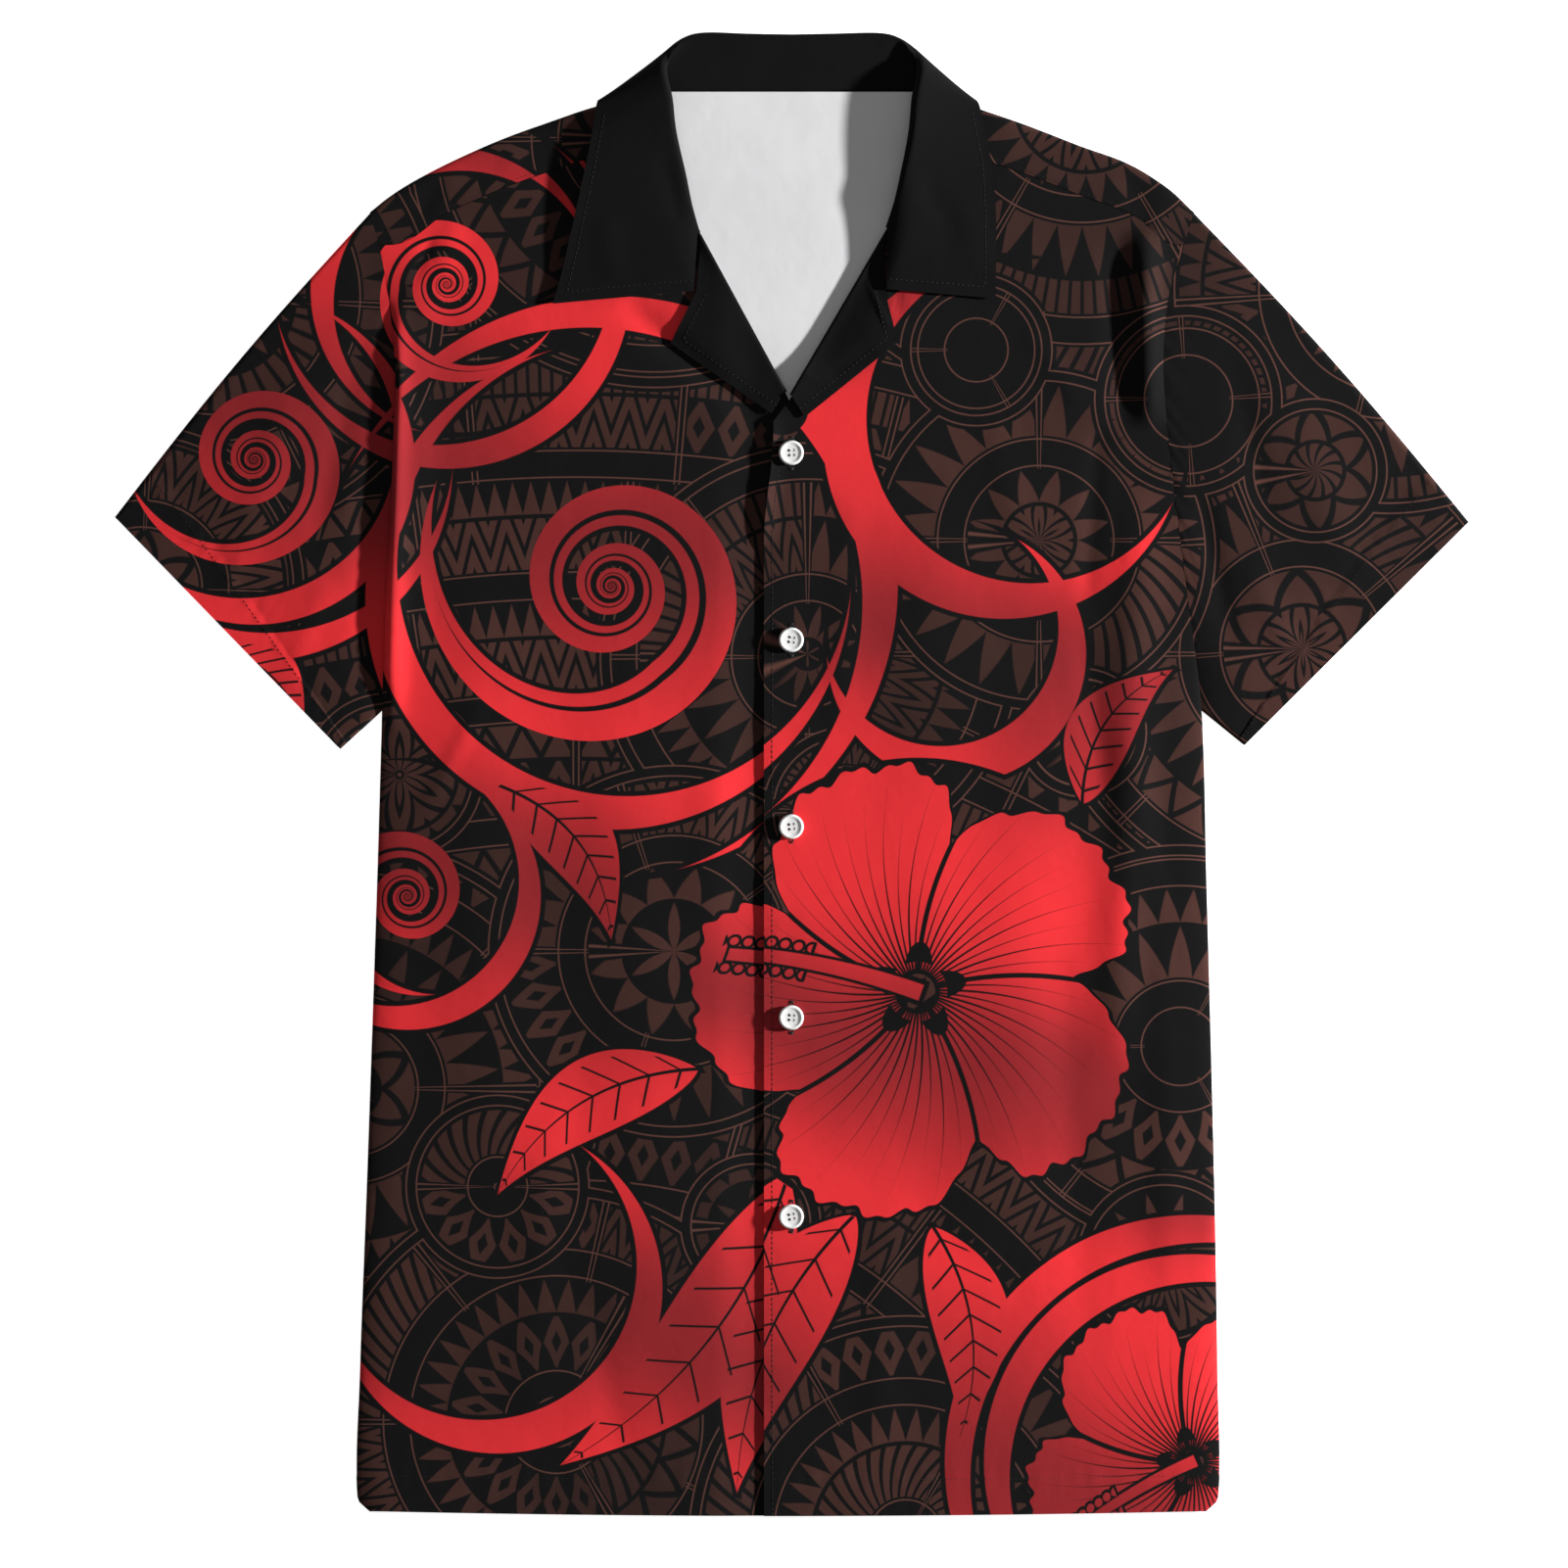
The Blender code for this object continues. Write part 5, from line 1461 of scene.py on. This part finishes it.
def print_group(name, panel):
    """The print of one panel as a node group: from a place on the cloth to its colour. Motifs that do not reach
    the panel's box are left out."""
    tree = new_tree(name, "ShaderNodeTree", {"Place": "Vector"}, {"Colour": "Color"})
    place = Field(add_node("NodeGroupInput").outputs["Place"])
    split = add_node("ShaderNodeSeparateXYZ", {0: place})
    x, y = Field(split.outputs[0]), Field(split.outputs[1])
    red, black_detail = -FAR, -FAR
    motifs = [
        (leaf_parts, leaf, (leaf.x0 + leaf.x1) / 2, (leaf.y0 + leaf.y1) / 2, leaf_reach(leaf))
        for leaf in LEAVES
    ]
    motifs += [(scroll_parts, scroll, scroll.x, scroll.y, scroll.size) for scroll in SCROLLS]
    for draw, motif, *patch in motifs:
        if near(panel, *patch):
            shape, lines = drawn_apart(draw, x, y, motif)
            red = most(red, shape)
            black_detail = most(black_detail, least(lines, shape + 1.0))
    for moon in CRESCENTS:
        if near(panel, moon.ax, moon.ay, moon.reach_a):
            red = most(red, drawn_apart(crescent_shape, x, y, moon)[0])
    for bloom in BLOOMS:
        if not near(panel, bloom.x, bloom.y, bloom.size):
            continue
        shape, veins = drawn_apart(bloom_parts, x, y, bloom)
        r, _ = polar(x, y, bloom.x, bloom.y)
        clear = 3.2 - (r - bloom.size)
        red = least(red, 0.0 - least(clear, 9.0))
        black_detail = chosen(black_detail, veins, inside_of(clear))
        stamen = drawn_apart(stamen_parts, x, y, bloom)[0]
        shape = least(shape, 0.0 - (stamen + 1.6))
        black_detail = least(black_detail, 0.0 - (stamen + 0.2))
        red = most(red, most(shape, stamen))
    fill, lines = band_pattern(x, y, panel)
    at_break, _ = polar(x, y, *BREAK)
    clear = least(at_break - BREAK_REACH, beside_neck(x, y, name) - NECK_PLAIN)
    red = least(red, clear)
    clear_of_red = least(0.0 - red - OUTLINE, clear)
    tone = noise(place, 0.006, 1.0)
    share = math_node("MULTIPLY_ADD", tone, 2.4, -0.55, clamp=True)
    brown = chosen_colour(BROWN_DEEP, BROWN_FILL, share)
    colour = chosen_colour(BLACK, brown, inside_of(least(fill, clear_of_red)))
    colour = chosen_colour(colour, BROWN_LINE, inside_of(least(lines, clear_of_red)))
    gradient = math_node("SINE", (x * 0.35 + y) * (math.tau / RED_PITCH) + tone * 4.0) * 0.5 + 0.5
    red_colour = chosen_colour(RED_DEEP, RED_BRIGHT, gradient)
    colour = chosen_colour(colour, red_colour, inside_of(least(red, 0.0 - black_detail)))
    add_node("NodeGroupOutput", {"Colour": colour})
    return tree


def new_material(name, inputs):
    """A material and its shader with these inputs."""
    material = bpy.data.materials.new(name)
    material.use_nodes = True
    Field.tree = material.node_tree
    shader = Field.tree.nodes["Principled BSDF"]
    for key, value in inputs.items():
        shader.inputs[key].default_value = value
    return material, shader


def place_on(shift_x=0.0, shift_y=0.0, turn=0.0):
    """A place on an object in millimetres, moved and turned."""
    return Field(add_node("ShaderNodeMapping", {
        "Vector": add_node("ShaderNodeTexCoord").outputs["Object"],
        "Location": (shift_x, shift_y, 0.0),
        "Rotation": (0.0, 0.0, math.radians(turn)),
        "Scale": (1000.0, 1000.0, 1000.0),
    }).outputs["Vector"])


def varied(colour, darkest, share):
    """A colour that goes down to a share of itself from place to place."""
    return chosen_colour(tuple(c * darkest for c in colour), colour, share)


def cloth_material(name, colour=None, print_place=(), panel=None, bump=0.35):
    """Woven cloth: plain in one colour, or printed, with the print moved and turned by print_place."""
    material, shader = new_material(name, CLOTH_FINISH)
    place = place_on(*print_place)
    split = add_node("ShaderNodeSeparateXYZ", {0: place})
    if colour is None:
        tree = Field.tree
        group = print_group("print on " + name, panel)
        Field.tree = tree
        cloth_colour = Field(add_node("ShaderNodeGroup", node_tree=group).outputs["Colour"])
        wire(place, cloth_colour.socket.node.inputs["Place"])
    else:
        cloth_colour = varied(colour, 0.86, noise(place, 0.02))
    wire(cloth_colour, shader.inputs["Base Color"])
    across, down = (math_node("SINE", Field(split.outputs[n]) * (math.tau / YARN)) for n in (0, 1))
    wrinkle, slub = (noise(place, scale, detail) * height for scale, detail, height in CLOTH_BUMPS)
    surface = {"Strength": bump, "Distance": 0.0001, "Height": across * down * 0.5 + (wrinkle + slub)}
    wire(add_node("ShaderNodeBump", surface).outputs["Normal"], shader.inputs["Normal"])
    return material


def plain_material(name, colour, darkest, grain, finish):
    """One colour that varies; grain is the scale and the detail of that."""
    material, shader = new_material(name, finish)
    wire(varied(colour, darkest, noise(place_on(), *grain)), shader.inputs["Base Color"])
    return material


# For each panel: how far its print is moved and turned, and its box in the print
PRINTED = {
    "front_right": ((0.0, 0.0, 0.0), (-225, -380, 15, 325)),
    "front_left": ((2.0, -1.5, 0.0), (-15, -380, 225, 325)),
    "sleeve_right": ((6.0, 12.0, 3.0), (-350, 0, -195, 300)),
    "sleeve_left": ((-9.0, 14.0, -4.0), (195, 0, 350, 300)),
    "back": ((0.0, 6.0, 0.0), (-225, -380, 225, 360)),
}
printed = {
    node: cloth_material("printed cloth of " + node, print_place=place, panel=panel)
    for node, (place, panel) in PRINTED.items()
}
black = cloth_material("plain black cloth", colour=BLACK)
inside = cloth_material("white inside", colour=INSIDE_WHITE, bump=0.2)
overlocked = cloth_material("overlocked edge", colour=BLACK)

thread = plain_material("sewing thread", THREAD_BLACK, 0.75, (1.7, 2.0), THREAD_FINISH)
white_thread = plain_material("button thread", BUTTON_WHITE, 0.75, (1.7, 2.0), THREAD_FINISH)
button_white = plain_material("white button", BUTTON_WHITE, 0.93, (0.35, 3.0), BUTTON_FINISH)

for side, sign in SIDES:
    make_front(side, sign, (printed["front_" + side], inside, overlocked))
    make_sleeve(side, sign, (printed["sleeve_" + side], inside, overlocked))
    make_lapel(side, sign, (black,))
make_back((inside, printed["back"], overlocked))
make_collar((black,))
make_buttons(button_white)
sewn = make_stitches(thread, white_thread)

# Each panel's cut: width, length and flat area, what it lies on, and what is sewn on it
CUT = {
    "back": (0.440, 0.780, 0.305, "floor", ("back", "shoulder_right", "shoulder_left")),
    "front_right": (0.233, 0.700, 0.147, "cloth_back", ("front_right",)),
    "front_left": (0.233, 0.700, 0.146, "cloth_back", ("front_left",)),
    "sleeve_right": (0.520, 0.155, 0.043, "floor", ("sleeve_right",)),
    "sleeve_left": (0.520, 0.165, 0.046, "floor", ("sleeve_left",)),
    "collar": (0.470, 0.085, 0.0257, "cloth_back", ("collar",)),
    "lapel_right": (0.062, 0.094, 0.0024, "cloth_front_right", ("lapel_right",)),
    "lapel_left": (0.056, 0.098, 0.0023, "cloth_front_left", ("lapel_left",)),
}
for node in CUT:
    piece = bpy.data.objects["cloth_" + node]
    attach(piece, "root")
    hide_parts(node)
for n in range(1, len(BUTTON_LEVELS) + 1):
    piece = bpy.data.objects[f"shirt_button_{n}"]
    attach(piece, "root")
    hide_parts(f"button_{n}")
for name in sewn:
    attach(bpy.data.objects[name], "root")
    "buttons" if name == "stitches_buttons" else "black_cloth"

# Floor, lights and camera
floor_mesh = bpy.data.meshes.new("floor")
floor_mesh.from_pydata([(-4, -4, 0), (4, -4, 0), (4, 4, 0), (-4, 4, 0)], [], [(0, 1, 2, 3)])
floor_mesh.materials.append(new_material("pale floor", {
    "Base Color": (0.95, 0.95, 0.95, 1.0),
    "Roughness": 0.9,
    "Emission Color": (1.0, 1.0, 1.0, 1.0),
    "Emission Strength": 0.85,
})[0])
floor = add_object("floor", floor_mesh)


def area_light(name, place, size, power):
    """A round light that faces the shirt."""
    light = bpy.data.lights.new(name, "AREA")
    light.shape = "DISK"
    light.size = size
    light.energy = power
    lamp = add_object(name, light)
    lamp.location = place
    lamp.rotation_euler = (-Vector(place)).to_track_quat("-Z", "Y").to_euler()


area_light("key light", (2.9, 0.30, 0.86), 0.16, 258)
area_light("sky light", (-0.3, 0.6, 3.2), 3.0, 8)
world = bpy.data.worlds.new("studio")
bpy.context.scene.world = world
world.use_nodes = True
world.node_tree.nodes["Background"].inputs["Color"].default_value = (1.0, 1.0, 1.0, 1.0)
world.node_tree.nodes["Background"].inputs["Strength"].default_value = 0.15
bpy.context.scene.view_settings.view_transform = "Standard"

lens = bpy.data.cameras.new("camera")
lens.sensor_width = SENSOR * 1000
lens.lens = SENSOR * 1000 * CAMERA_HEIGHT / (FRAME_SIDE * PIXEL)
camera = add_object("camera", lens)
camera.location = ((FRAME_SIDE / 2 - ORIGIN_X) * PIXEL, (ORIGIN_Y - FRAME_SIDE / 2) * PIXEL, CAMERA_HEIGHT)
bpy.context.scene.camera = camera
